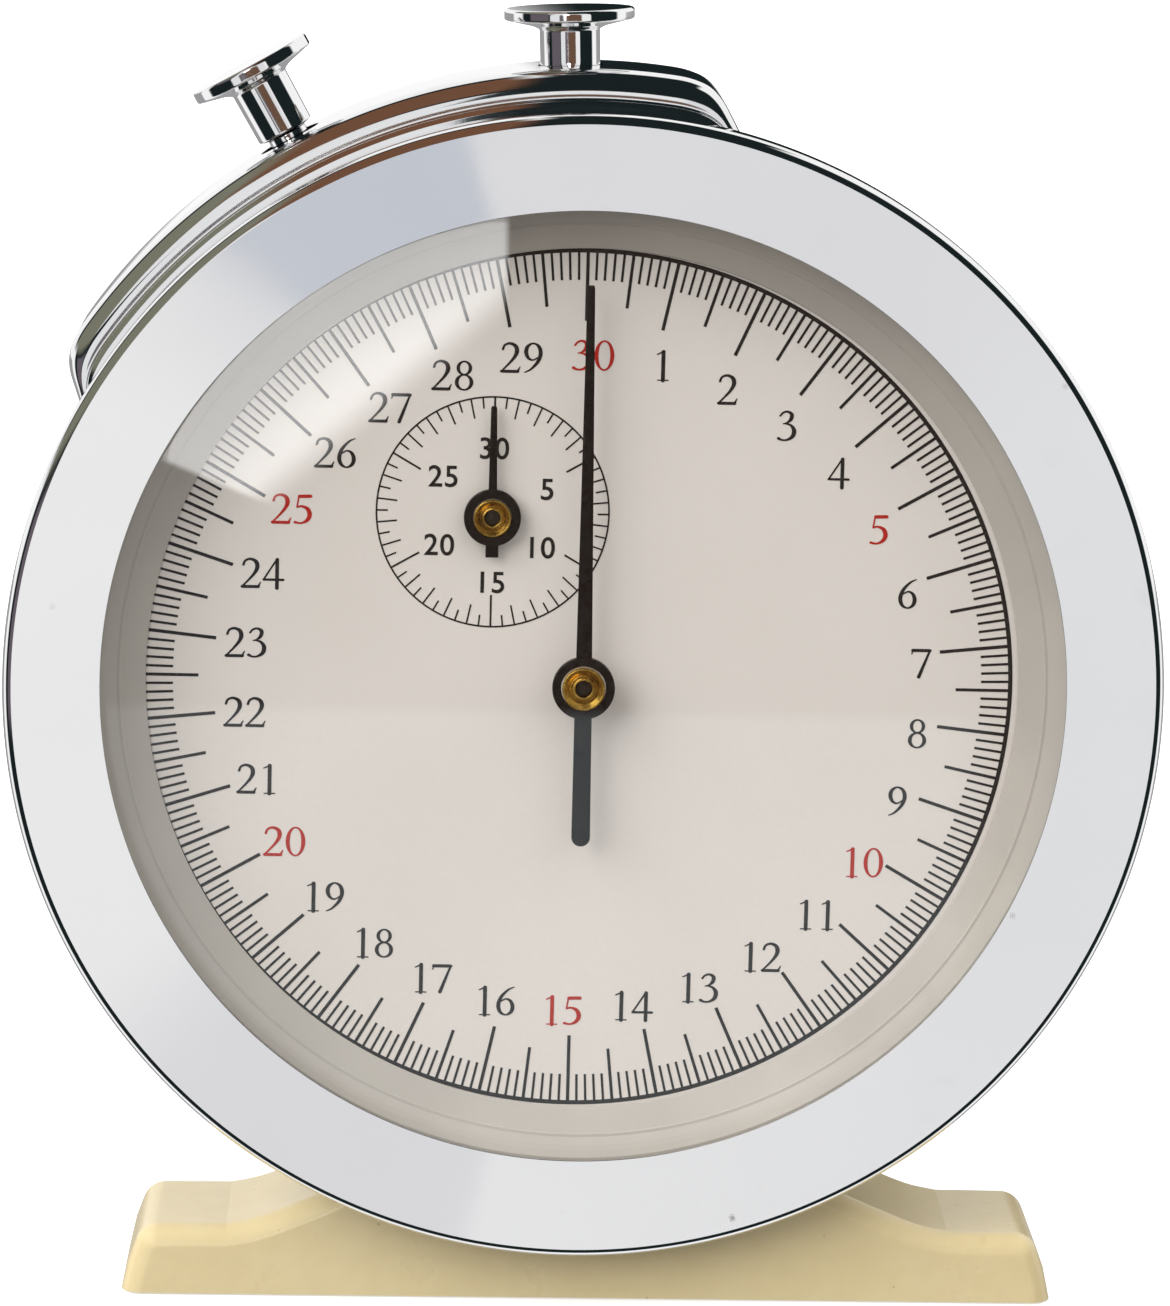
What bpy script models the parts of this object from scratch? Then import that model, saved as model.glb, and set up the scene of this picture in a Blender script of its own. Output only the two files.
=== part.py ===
"""A bench stop clock: round chromed case on a moulded stand, with a winding crown that starts and stops
it, a reset button, a sweep hand, a small minute hand and the movement that drives them.

Everything is drawn in millimetres and scaled to metres as each mesh is made. The clock's own frame has its
origin at the centre of the dial circle: x to the right, y up, and h towards the viewer. The stand rests on
z = 0 and the dial looks towards -Y.
"""

import math

import bpy
from mathutils import Matrix, Vector

MM = 0.001

# Overall sizes, in millimetres.
CLOCK_CENTRE_Z = 62.5
HALF_DEPTH = 17.0
BEZEL_RADIUS = 56.7
BEZEL_OPENING = 47.2
DRUM_RADIUS = 53.8
DRUM_INNER = 53.0
GAP = 0.3  # between neighbouring pieces

# The shoulder that carries the two buttons.
HOUSING_TOP = 60.4
HOUSING_FOOT = 54.15
HOUSING_WALL = 0.8
HOUSING_LEFT = -63.6  # degrees, clockwise from twelve o'clock
HOUSING_RIGHT = 16.6

# Buttons: each slides along its own radius of the case.
CROWN_ANGLE = -2.1
RESET_ANGLE = -29.4
BUTTON_H = 2.0

# Dial and hands.
DIAL_FRONT = 8.8
DIAL_RADIUS = 47.6
MINUTE_X, MINUTE_Y = -9.2, 16.5
SWEEP_LENGTH = 39.7
SWEEP_TAIL = 15.1
MINUTE_LENGTH = 11.0

# Movement: plates, then the train, whose wheels sit on levels of their own.
FRONT_PLATE = (5.4, 6.9)
BACK_PLATE = (-10.5, -9.0)
PLATE_RADIUS = 51.6
ARBOR = 0.6
PIVOT_HOLE = 1.0
MINUTE_TEETH, THIRD_PINION, MINUTE_MODULE = 48, 6, 0.5
THIRD_TEETH, SWEEP_PINION, THIRD_MODULE = 45, 6, 0.5
SWEEP_TEETH, ESCAPE_PINION, SWEEP_MODULE = 45, 6, 0.45
BARREL_TEETH, MINUTE_PINION, BARREL_MODULE = 36, 6, 2 / 3
WINDING_PINION, CROWN_WHEEL_TEETH, RATCHET_TEETH, WINDING_MODULE = 6, 15, 27, 0.9
CROWN_WHEEL_RADIUS_OUT = 31.5
ESCAPE_ANGLE = -40.0
PILLAR_ANGLES = (55.0, 160.0, 235.0, 325.0)
PILLAR_RADIUS = 46.0
COVER_SCREW_ANGLES = (94.0, 214.0, 334.0)
COVER_SCREW_RADIUS = 48.6

# Stand.
BASE_FRONT, BASE_BACK, BASE_SHIFT = 11.5, -8.2, 1.3
BASE_SCREW_X = 9.0

MATERIALS = {
    "chrome": ((0.78, 0.78, 0.80), 0.08, 1.0),
    "case_steel": ((0.62, 0.62, 0.64), 0.25, 1.0),
    "steel": ((0.55, 0.56, 0.58), 0.3, 1.0),
    "brass": ((0.78, 0.60, 0.28), 0.3, 1.0),
    "plate_brass": ((0.72, 0.58, 0.32), 0.4, 1.0),
    "stand_plastic": ((0.86, 0.76, 0.55), 0.3, 0.0),
    "dial_paint": ((0.87, 0.84, 0.79), 0.5, 0.0),
    "ring_paint": ((0.62, 0.59, 0.55), 0.6, 0.0),
    "hand_black": ((0.015, 0.015, 0.017), 0.35, 0.0),
    "crystal_glass": ((0.92, 0.95, 0.96), 0.03, 0.0),
    "gasket_rubber": ((0.05, 0.05, 0.05), 0.8, 0.0),
    "ring_plastic": ((0.3, 0.3, 0.3), 0.6, 0.0),
    "blued_steel": ((0.12, 0.16, 0.32), 0.3, 1.0),
}


def clear_scene():
    for obj in list(bpy.data.objects):
        bpy.data.objects.remove(obj, do_unlink=True)


def make_materials():
    made = {}
    for name, (colour, roughness, metallic) in MATERIALS.items():
        material = bpy.data.materials.new(name)
        material.use_nodes = True
        shader = material.node_tree.nodes["Principled BSDF"]
        shader.inputs["Base Color"].default_value = (*colour, 1.0)
        shader.inputs["Roughness"].default_value = roughness
        shader.inputs["Metallic"].default_value = metallic
        material.diffuse_color = (*colour, 1.0)
        made[name] = material
    glass = made["crystal_glass"].node_tree.nodes["Principled BSDF"]
    glass.inputs["Transmission Weight"].default_value = 0.9
    return made


clear_scene()
LOOK = make_materials()
PARTS = bpy.data.collections.new("bench_stop_clock")
bpy.context.scene.collection.children.link(PARTS)
HELPERS = bpy.data.collections.new("cutters")
bpy.context.scene.collection.children.link(HELPERS)
HELPERS.hide_render = True
SHARP = math.radians(35)

# Clock frame: local x right, local y up, local z towards the viewer.
CLOCK = Matrix.Translation((0, 0, CLOCK_CENTRE_Z * MM)) @ Matrix.Rotation(math.radians(90), 4, "X")


def in_clock(x=0.0, y=0.0, turn=0.0):
    """A frame on the clock's face at (x, y), turned anticlockwise by turn degrees."""
    return CLOCK @ Matrix.Translation((x * MM, y * MM, 0)) @ Matrix.Rotation(math.radians(turn), 4, "Z")


def on_radius(angle):
    """A frame whose local z is the radius at this clock angle, at the height of the buttons."""
    return (
        Matrix.Translation((0, 0, CLOCK_CENTRE_Z * MM))
        @ Matrix.Rotation(math.radians(angle), 4, "Y")
        @ Matrix.Translation((0, -BUTTON_H * MM, 0))
    )


def upright(x=0.0, y=0.0):
    return Matrix.Translation((x * MM, y * MM, 0))


def add_object(name, data, material, matrix, helper=False):
    obj = bpy.data.objects.new(name, data)
    (HELPERS if helper else PARTS).objects.link(obj)
    obj.matrix_world = matrix
    if helper:
        obj.hide_render = True
        obj.display_type = "WIRE"
    else:
        data.materials.append(LOOK[material])
    return obj


def lathe(name, outline, material, matrix, steps=48, helper=False):
    """A turned piece. The outline is (radius, height), down the outer side and back up the inner one."""
    points = [(r * MM, 0.0, z * MM) for r, z in outline]
    edges = [(i, i + 1) for i in range(len(points) - 1)]
    if outline[0][0] > 0:
        edges.append((len(points) - 1, 0))
    mesh = bpy.data.meshes.new(name)
    mesh.from_pydata(points, edges, [])
    obj = add_object(name, mesh, material, matrix, helper)
    screw = obj.modifiers.new("turn", "SCREW")
    screw.axis = "Z"
    screw.angle = math.tau
    screw.steps = screw.render_steps = steps
    screw.use_merge_vertices = True
    screw.merge_threshold = 1e-6
    screw.use_smooth_shade = False
    return obj


def prism(name, outlines, low, high, material, matrix, helper=False):
    """A flat plate between two heights, from one outer outline and any holes."""
    curve = bpy.data.curves.new(name, "CURVE")
    curve.dimensions = "2D"
    curve.fill_mode = "BOTH"
    curve.extrude = (high - low) / 2
    for outline in outlines:
        spline = curve.splines.new("POLY")
        spline.points.add(len(outline) - 1)
        for point, (x, y) in zip(spline.points, outline):
            point.co = (x, y, 0.0, 1.0)
        spline.use_cyclic_u = True
    flat = bpy.data.objects.new(name + "_outline", curve)
    bpy.context.scene.collection.objects.link(flat)
    bpy.context.view_layer.update()
    mesh = bpy.data.meshes.new_from_object(flat.evaluated_get(bpy.context.evaluated_depsgraph_get()))
    bpy.data.objects.remove(flat, do_unlink=True)
    mesh.transform(Matrix.Scale(MM, 4) @ Matrix.Translation((0, 0, (low + high) / 2)))
    mesh.materials.clear()
    obj = add_object(name, mesh, material, matrix, helper)
    weld = obj.modifiers.new("weld", "WELD")
    weld.merge_threshold = 1e-6
    return obj


def boolean(target, operation, tools):
    for tool in tools:
        cut = target.modifiers.new(tool.name, "BOOLEAN")
        cut.operation = operation
        cut.solver = "EXACT"
        cut.object = tool
    return target


def join(target, *tools):
    return boolean(target, "UNION", tools)


def drill(target, *tools):
    return boolean(target, "DIFFERENCE", tools)


def circle(radius, count, x=0.0, y=0.0):
    return [
        (x + radius * math.cos(math.tau * i / count), y + radius * math.sin(math.tau * i / count))
        for i in range(count)
    ]


def polar(radius, degrees):
    """A point at this radius, counted anticlockwise from three o'clock."""
    return radius * math.cos(math.radians(degrees)), radius * math.sin(math.radians(degrees))


def rod(name, radius, low, high, matrix, steps=12, material=None, helper=True):
    return lathe(name, [(0, high), (radius, high), (radius, low), (0, low)], material, matrix, steps, helper)


def box(name, corner, size, matrix, material=None, helper=True):
    x, y, z = corner
    w, d, h = size
    return prism(name, [[(x, y), (x + w, y), (x + w, y + d), (x, y + d)]], z, z + h, material, matrix, helper)


def wheel_outline(teeth, module, start=0.0):
    """Pointed teeth on a round rim; start turns the first tooth's centre, in degrees."""
    pitch = teeth * module / 2
    tip, root = pitch + 0.8 * module, pitch - 1.1 * module
    points = []
    for i in range(teeth):
        middle = math.radians(start) + math.tau * i / teeth
        half = math.tau / teeth * 0.30
        for angle, radius in ((-half, root), (0.0, tip), (half, root)):
            points.append((radius * math.cos(middle + angle), radius * math.sin(middle + angle)))
    return points


def leaf_outline(leaves, module, start=0.0):
    """A pinion of narrow leaves, cut deep enough for a wheel's teeth to pass."""
    pitch = leaves * module / 2
    tip, root = pitch + 0.55 * module, pitch - 1.25 * module
    points = []
    for i in range(leaves):
        middle = math.radians(start) + math.tau * i / leaves
        for offset, radius in ((-0.36, root), (-0.26, tip), (0.26, tip), (0.36, root)):
            angle = middle + math.atan2(offset * module, radius)
            points.append((radius * math.cos(angle), radius * math.sin(angle)))
    return points


def wheel_with_pinion(name, at, wheel, pinion, shaft, material="brass"):
    """One arbor. wheel and pinion are (outline, low, high); shaft is (low, high)."""
    frame = in_clock(*at)
    outline, low, high = wheel
    body = prism(name, [outline], low, high, material, frame)
    tools = [rod(name + "_arbor", ARBOR, *shaft, frame, 8)]
    if pinion:
        tools.append(prism(name + "_pinion", [pinion[0]], pinion[1], pinion[2], None, frame, True))
    return join(body, *tools)


def smooth_round_pieces():
    """Fixes each piece's shape and shades it smooth across its round faces only."""
    bpy.context.view_layer.update()
    graph = bpy.context.evaluated_depsgraph_get()
    shaped = [(obj, bpy.data.meshes.new_from_object(obj.evaluated_get(graph))) for obj in PARTS.objects]
    for obj, mesh in shaped:
        mesh.name = obj.name
        mesh.shade_smooth()
        mesh.set_sharp_from_angle(angle=SHARP)
        obj.modifiers.clear()
        obj.data = mesh
    for helper in list(HELPERS.objects):
        bpy.data.objects.remove(helper, do_unlink=True)


def apex(a, b, from_a, from_b, side):
    """The point at these two distances from a and b, on the left (1) or right (-1) of the line a to b."""
    a, b = Vector(a), Vector(b)
    gap = (b - a).length
    along = (from_a**2 - from_b**2 + gap**2) / (2 * gap)
    off = math.sqrt(from_a**2 - along**2)
    u = (b - a) / gap
    return tuple(a + u * along + side * off * Vector((-u.y, u.x)))


def heading(a, b):
    return math.degrees(math.atan2(b[1] - a[1], b[0] - a[0]))


# Where the arbors stand.
SWEEP_AT = (0.0, 0.0)
MINUTE_AT = (MINUTE_X, MINUTE_Y)
THIRD_AT = apex(
    SWEEP_AT,
    MINUTE_AT,
    (THIRD_TEETH + SWEEP_PINION) * THIRD_MODULE / 2,
    (MINUTE_TEETH + THIRD_PINION) * MINUTE_MODULE / 2,
    -1,
)
ESCAPE_AT = polar((SWEEP_TEETH + ESCAPE_PINION) * SWEEP_MODULE / 2, ESCAPE_ANGLE)
PALLET_AT = tuple(Vector(ESCAPE_AT) + Vector(polar(6.8, ESCAPE_ANGLE)))
BALANCE_AT = tuple(Vector(PALLET_AT) + Vector(polar(8.0, ESCAPE_ANGLE)))
CROWN_WHEEL_AT = polar(CROWN_WHEEL_RADIUS_OUT, 90 - CROWN_ANGLE)
BARREL_AT = apex(
    MINUTE_AT,
    CROWN_WHEEL_AT,
    (BARREL_TEETH + MINUTE_PINION) * BARREL_MODULE / 2,
    (CROWN_WHEEL_TEETH + RATCHET_TEETH) * WINDING_MODULE / 2,
    1,
)
PILLARS = [polar(PILLAR_RADIUS, angle) for angle in PILLAR_ANGLES]
COVER_SCREWS = [polar(COVER_SCREW_RADIUS, angle) for angle in COVER_SCREW_ANGLES]


def make_case():
    drum = lathe(
        "case_drum",
        [(DRUM_RADIUS, 14.2), (DRUM_RADIUS, -14.6), (DRUM_INNER, -14.6), (DRUM_INNER, 14.2)],
        "case_steel",
        in_clock(),
        56,
    )
    drill(
        drum,
        rod("crown_hole", 2.0, 50.0, 57.0, on_radius(CROWN_ANGLE)),
        rod("reset_hole", 2.0, 50.0, 57.0, on_radius(RESET_ANGLE)),
        rod("screw_hole_left", 1.7, 6.0, 14.0, upright(-BASE_SCREW_X)),
        rod("screw_hole_right", 1.7, 6.0, 14.0, upright(BASE_SCREW_X)),
    )
    lathe(
        "bezel",
        [
            (BEZEL_RADIUS - 1.0, HALF_DEPTH),
            (BEZEL_RADIUS - 0.3, HALF_DEPTH - 0.3),
            (BEZEL_RADIUS, HALF_DEPTH - 1.0),
            (BEZEL_RADIUS, 12.3),
            (54.4, 12.3),
            (54.4, 15.5),
            (48.2, 13.9),
            (BEZEL_OPENING, 13.6),
            (BEZEL_OPENING, 14.5),
            (BEZEL_OPENING + 0.4, 14.9),
        ],
        "chrome",
        in_clock(),
        60,
    )
    lathe(
        "crystal",
        [(0, 15.4), (22.0, 14.95), (46.6, 13.3), (52.3, 13.2), (52.3, 12.1), (46.6, 12.1), (22.0, 13.75),
         (0, 14.2)],
        "crystal_glass",
        in_clock(),
        40,
    )
    lathe(
        "crystal_gasket",
        [(52.2, 14.5), (52.2, 13.5), (49.4, 13.5)],
        "gasket_rubber",
        in_clock(),
        40,
    )
    lathe(
        "dial_ring",
        [(52.4, 11.8), (52.4, 11.1), (48.3, 11.1), (43.7, 9.1), (43.0, 9.1), (47.6, 11.8)],
        "ring_paint",
        in_clock(),
        56,
    )
    lathe(
        "movement_ring",
        [(52.4, 10.8), (52.4, 7.2), (48.2, 7.2), (48.2, 10.8)],
        "ring_plastic",
        in_clock(),
        40,
    )
    dial = prism(
        "dial",
        [circle(DIAL_RADIUS, 56), circle(1.6, 12), circle(1.4, 12, MINUTE_X, MINUTE_Y)],
        DIAL_FRONT - 0.5,
        DIAL_FRONT,
        "dial_paint",
        in_clock(),
    )
    join(
        dial,
        rod("dial_foot_right", 0.8, 5.9, 8.5, in_clock(42.0, -6.0), 8),
        rod("dial_foot_left", 0.8, 5.9, 8.5, in_clock(-42.0, -6.0), 8),
    )
    cover = lathe(
        "back_cover",
        [(0, -16.0), (51.8, -16.0), (51.8, -13.4), (52.6, -13.4), (52.6, -14.9), (54.2, -14.9),
         (54.2, -16.4), (53.6, -HALF_DEPTH), (0, -HALF_DEPTH)],
        "chrome",
        in_clock(),
        48,
    )
    for number, at in enumerate(COVER_SCREWS, 1):
        drill(cover, rod(f"cover_hole_{number}", 1.5, -18.0, -14.0, in_clock(*at), 8))
        head = lathe(
            f"back_cover_screw_{number}",
            [(0, -8.0), (1.1, -8.0), (1.1, -HALF_DEPTH + 0.2), (0, -HALF_DEPTH + 0.2)],
            "steel",
            in_clock(*at),
            10,
        )
        slot = box(f"cover_slot_{number}", (-2, -0.3, -18), (4, 0.6, 1.7), in_clock(*at))
        drill(head, slot)


def housing_rise(angle):
    """How far the shoulder has risen at this clock angle: 0 at its ends, 1 along its top."""
    inside = min(angle - HOUSING_LEFT, HOUSING_RIGHT - angle)
    steps = ((0.0, 0.06), (1.4, 0.26), (2.9, 0.52), (4.4, 0.78), (5.6, 0.91), (7.2, 0.98), (9.0, 1.0))
    for (a, low), (b, high) in zip(steps, steps[1:]):
        if inside <= b:
            return low + (high - low) * (inside - a) / (b - a)
    return 1.0


def make_housing():
    """The buttons' shoulder: a formed sheet whose ends run down onto the drum."""
    outer = [(HOUSING_FOOT, 11.8), (56.9, 11.8), (57.5, 11.5), (57.6, 10.7), (58.9, 10.35),
             (59.9, 9.4), (HOUSING_TOP, 7.9), (HOUSING_TOP, -3.6), (59.6, -5.7), (57.8, -6.7),
             (HOUSING_FOOT, -6.8)]
    inner = [(HOUSING_FOOT, 11.0), (56.2, 11.0), (56.7, 10.8), (56.8, 10.0), (58.4, 9.65),
             (59.2, 8.9), (HOUSING_TOP - HOUSING_WALL, 7.7), (HOUSING_TOP - HOUSING_WALL, -3.5),
             (59.0, -5.0), (57.5, -5.9), (HOUSING_FOOT, -6.0)]
    ends = [0.0, 1.4, 2.9, 4.4, 5.6, 7.2, 9.0]
    middle = [9.0 + (HOUSING_RIGHT - HOUSING_LEFT - 18.0) * i / 9 for i in range(1, 9)]
    span = HOUSING_RIGHT - HOUSING_LEFT
    angles = [HOUSING_LEFT + a for a in ends + middle + [span - a for a in reversed(ends)]]
    inset = 0.85
    points, faces = [], []

    def section(profile, angle, rise):
        for radius, h in profile:
            r = HOUSING_FOOT + (radius - HOUSING_FOOT) * rise
            a = math.radians(angle)
            points.append((r * math.sin(a) * MM, r * math.cos(a) * MM, h * MM))

    for angle in angles:
        section(outer, angle, housing_rise(angle))
    middle_angle = (HOUSING_LEFT + HOUSING_RIGHT) / 2
    for angle in angles:
        shrunk = middle_angle + (angle - middle_angle) * (span / 2 - inset) / (span / 2)
        section(inner, shrunk, housing_rise(angle) if housing_rise(angle) > 0.1 else 0.0001)
    rows, count = len(angles), len(outer)
    second = rows * count
    for i in range(rows - 1):
        for j in range(count - 1):
            a, b, c, d = i * count + j, i * count + j + 1, (i + 1) * count + j + 1, (i + 1) * count + j
            faces.append((a, b, c, d))
            faces.append((second + d, second + c, second + b, second + a))
        for j in (0, count - 1):
            a, b = i * count + j, (i + 1) * count + j
            faces.append((a, b, second + b, second + a) if j == 0 else (b, a, second + a, second + b))
    for i in (0, rows - 1):
        for j in range(count - 1):
            a, b = i * count + j, i * count + j + 1
            faces.append((b, a, second + a, second + b) if i == 0 else (a, b, second + b, second + a))
    mesh = bpy.data.meshes.new("button_housing")
    mesh.from_pydata(points, [], faces)
    housing = add_object("button_housing", mesh, "chrome", in_clock())
    drill(
        housing,
        rod("crown_opening", 3.2, 56.0, 63.0, on_radius(CROWN_ANGLE), 20),
        rod("reset_opening", 3.2, 56.0, 63.0, on_radius(RESET_ANGLE), 20),
    )


def coil(name, radius, wire, low, high, turns, material, matrix, sides=9):
    """A round-wire spring round the local z axis, from low to high measured to the wire's own ends."""
    curve = bpy.data.curves.new(name, "CURVE")
    curve.dimensions = "3D"
    curve.bevel_depth = wire
    curve.bevel_resolution = 0
    curve.use_fill_caps = True
    spline = curve.splines.new("POLY")
    count = int(turns * sides) + 1
    spline.points.add(count - 1)
    for i, point in enumerate(spline.points):
        angle = math.tau * i / sides
        rise = low + wire + (high - low - 2 * wire) * i / (count - 1)
        point.co = (radius * math.cos(angle), radius * math.sin(angle), rise, 1.0)
    return curve_to_node(name, curve, material, matrix)


def curve_to_node(name, curve, material, matrix):
    path = bpy.data.objects.new(name + "_path", curve)
    bpy.context.scene.collection.objects.link(path)
    bpy.context.view_layer.update()
    mesh = bpy.data.meshes.new_from_object(path.evaluated_get(bpy.context.evaluated_depsgraph_get()))
    bpy.data.objects.remove(path, do_unlink=True)
    mesh.transform(Matrix.Scale(MM, 4))
    mesh.materials.clear()
    obj = add_object(name, mesh, material, matrix)
    weld = obj.modifiers.new("weld", "WELD")
    weld.merge_threshold = 1e-6
    return obj


def make_buttons():
    crown = on_radius(CROWN_ANGLE)
    reset = on_radius(RESET_ANGLE)
    lathe(
        "crown",
        [(0, 66.05), (5.9, 65.95), (6.3, 65.75), (6.4, 65.5), (6.4, 65.1), (6.25, 64.85), (5.9, 64.75),
         (3.6, 64.15), (3.1, 63.8), (3.0, 63.0), (2.95, 60.2), (2.95, 58.4), (2.0, 58.4), (2.0, 64.5),
         (0, 64.5)],
        "chrome",
        crown,
        22,
    )
    lathe(
        "crown_tube",
        [(1.65, 60.5), (1.65, 54.9), (2.6, 54.9), (2.6, 54.1), (1.65, 54.1), (1.65, 52.2), (1.3, 52.2),
         (1.3, 60.5)],
        "steel",
        crown,
        14,
    )
    stem = lathe(
        "winding_stem",
        [(0, 64.2), (1.7, 64.2), (1.7, 62.6), (1.0, 62.6), (1.0, 36.0), (0, 36.0)],
        "steel",
        crown,
        12,
    )
    join(stem, prism("winding_pinion", [leaf_outline(WINDING_PINION, WINDING_MODULE)], 36.6, 39.0, None, crown, True))
    lathe(
        "start_sleeve",
        [(2.5, 48.0), (2.5, 45.0), (1.3, 45.0), (1.3, 48.0)],
        "steel",
        crown,
        14,
    )
    coil("crown_spring", 2.35, 0.16, 55.1, 58.1, 3, "steel", crown)
    lathe(
        "reset_button",
        [(0, 68.85), (5.8, 68.75), (6.15, 68.55), (6.25, 68.3), (6.25, 67.85), (6.1, 67.6), (5.8, 67.5),
         (3.6, 66.9), (3.05, 66.55), (2.9, 65.8), (2.85, 61.2), (2.0, 61.0), (2.0, 58.0), (1.0, 58.0),
         (1.0, 44.0), (0, 44.0)],
        "chrome",
        reset,
        22,
    )
    lathe(
        "reset_tube",
        [(1.65, 55.4), (1.65, 54.9), (2.6, 54.9), (2.6, 54.1), (1.65, 54.1), (1.65, 52.2), (1.3, 52.2),
         (1.3, 55.4)],
        "steel",
        reset,
        14,
    )
    coil("reset_spring", 1.5, 0.16, 55.6, 57.8, 3, "steel", reset)


def pointer(half_root, half_tip, start, length, tail_root, tail_end, tail):
    """A hand seen from the front, pointing up: a tapered pointer and a counterweight tail."""
    return [
        (half_root, start), (half_tip, length - 0.4), (0.0, length), (-half_tip, length - 0.4),
        (-half_root, start), (-tail_root, -start), (-tail_end, -tail + tail_end),
        (-tail_end * 0.7, -tail + 0.25 * tail_end), (0.0, -tail), (tail_end * 0.7, -tail + 0.25 * tail_end),
        (tail_end, -tail + tail_end), (tail_root, -start),
    ]


def make_hands():
    sweep, minute = in_clock(), in_clock(*MINUTE_AT)
    hand = prism(
        "sweep_hand",
        [pointer(0.66, 0.36, 1.0, SWEEP_LENGTH, 0.62, 0.85, SWEEP_TAIL)],
        11.4,
        11.7,
        "hand_black",
        sweep,
    )
    join(hand, rod("sweep_hub", 3.08, 11.2, 12.1, sweep, 24))
    drill(hand, rod("sweep_hub_hole", 2.2, 10.0, 13.0, sweep, 16))
    lathe(
        "sweep_hand_bush",
        [(2.0, 12.5), (2.0, 10.2), (0.75, 10.2), (0.75, 12.1), (1.0, 12.1), (1.15, 11.85)],
        "brass",
        sweep,
        16,
    )
    hand = prism(
        "minute_hand",
        [pointer(0.42, 0.18, 1.0, MINUTE_LENGTH, 0.55, 0.6, 4.1)],
        9.6,
        9.9,
        "hand_black",
        minute,
    )
    join(hand, rod("minute_hub", 2.8, 9.4, 10.2, minute, 20))
    drill(hand, rod("minute_hub_hole", 1.9, 9.0, 11.0, minute, 14))
    lathe(
        "minute_hand_bush",
        [(1.65, 10.45), (1.65, 9.1), (0.75, 9.1), (0.75, 10.15), (0.95, 10.15), (1.1, 9.95)],
        "brass",
        minute,
        14,
    )


def make_plates():
    arbors = [SWEEP_AT, MINUTE_AT, THIRD_AT, ESCAPE_AT, PALLET_AT]
    holes = [circle(PIVOT_HOLE, 8, *at) for at in arbors]
    screws = [circle(1.5, 8, *at) for at in COVER_SCREWS]
    through = [circle(1.4, 8, *at) for at in PILLARS]
    feet = [circle(1.2, 8, side * 42.0, -6.0) for side in (-1, 1)]
    barrel = [circle(1.4, 8, *BARREL_AT)]
    balance = [circle(1.2, 8, *BALANCE_AT)]
    prism(
        "front_plate",
        [circle(PLATE_RADIUS, 40)] + holes + feet + barrel + through + balance,
        *FRONT_PLATE,
        "plate_brass",
        in_clock(),
    )
    prism(
        "back_plate",
        [circle(PLATE_RADIUS, 40)] + holes + screws + barrel + through + balance,
        *BACK_PLATE,
        "plate_brass",
        in_clock(),
    )
    for number, at in enumerate(PILLARS, 1):
        lathe(
            f"plate_pillar_{number}",
            [(0, 6.7), (1.1, 6.7), (1.1, FRONT_PLATE[0] - GAP), (2.2, FRONT_PLATE[0] - GAP),
             (2.2, BACK_PLATE[1] + GAP), (1.1, BACK_PLATE[1] + GAP), (1.1, -10.3), (0, -10.3)],
            "brass",
            in_clock(*at),
            10,
        )


def make_train():
    shaft = (-10.2, 6.6)
    up = heading(THIRD_AT, MINUTE_AT)
    minute_pinion_start = heading(MINUTE_AT, BARREL_AT) + 180 / MINUTE_PINION
    wheel_with_pinion(
        "minute_wheel",
        MINUTE_AT,
        (wheel_outline(MINUTE_TEETH, MINUTE_MODULE, up + 180), -0.9, -0.1),
        (leaf_outline(MINUTE_PINION, BARREL_MODULE, minute_pinion_start), -5.2, -3.2),
        (-10.2, 9.7),
    )
    wheel_with_pinion(
        "third_wheel",
        THIRD_AT,
        (wheel_outline(THIRD_TEETH, THIRD_MODULE, heading(THIRD_AT, SWEEP_AT)), 1.5, 2.3),
        (leaf_outline(THIRD_PINION, MINUTE_MODULE, up + 180 / THIRD_PINION), -1.3, 0.3),
        shaft,
    )
    wheel_with_pinion(
        "sweep_wheel",
        SWEEP_AT,
        (wheel_outline(SWEEP_TEETH, SWEEP_MODULE, ESCAPE_ANGLE), 3.6, 4.4),
        (leaf_outline(SWEEP_PINION, THIRD_MODULE, heading(SWEEP_AT, THIRD_AT) + 180 / SWEEP_PINION), 1.1, 2.7),
        (-10.2, 11.5),
    )
    teeth = []
    for i in range(15):
        middle = math.tau * i / 15
        for angle, radius in ((0.0, 4.6), (0.05, 4.6), (0.16, 3.5), (0.36, 3.4)):
            teeth.append((radius * math.cos(middle + angle), radius * math.sin(middle + angle)))
    wheel_with_pinion(
        "escape_wheel",
        ESCAPE_AT,
        (teeth, -0.9, -0.2),
        (leaf_outline(ESCAPE_PINION, SWEEP_MODULE, ESCAPE_ANGLE + 180 + 180 / ESCAPE_PINION), 3.3, 4.8),
        shaft,
        "steel",
    )


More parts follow.
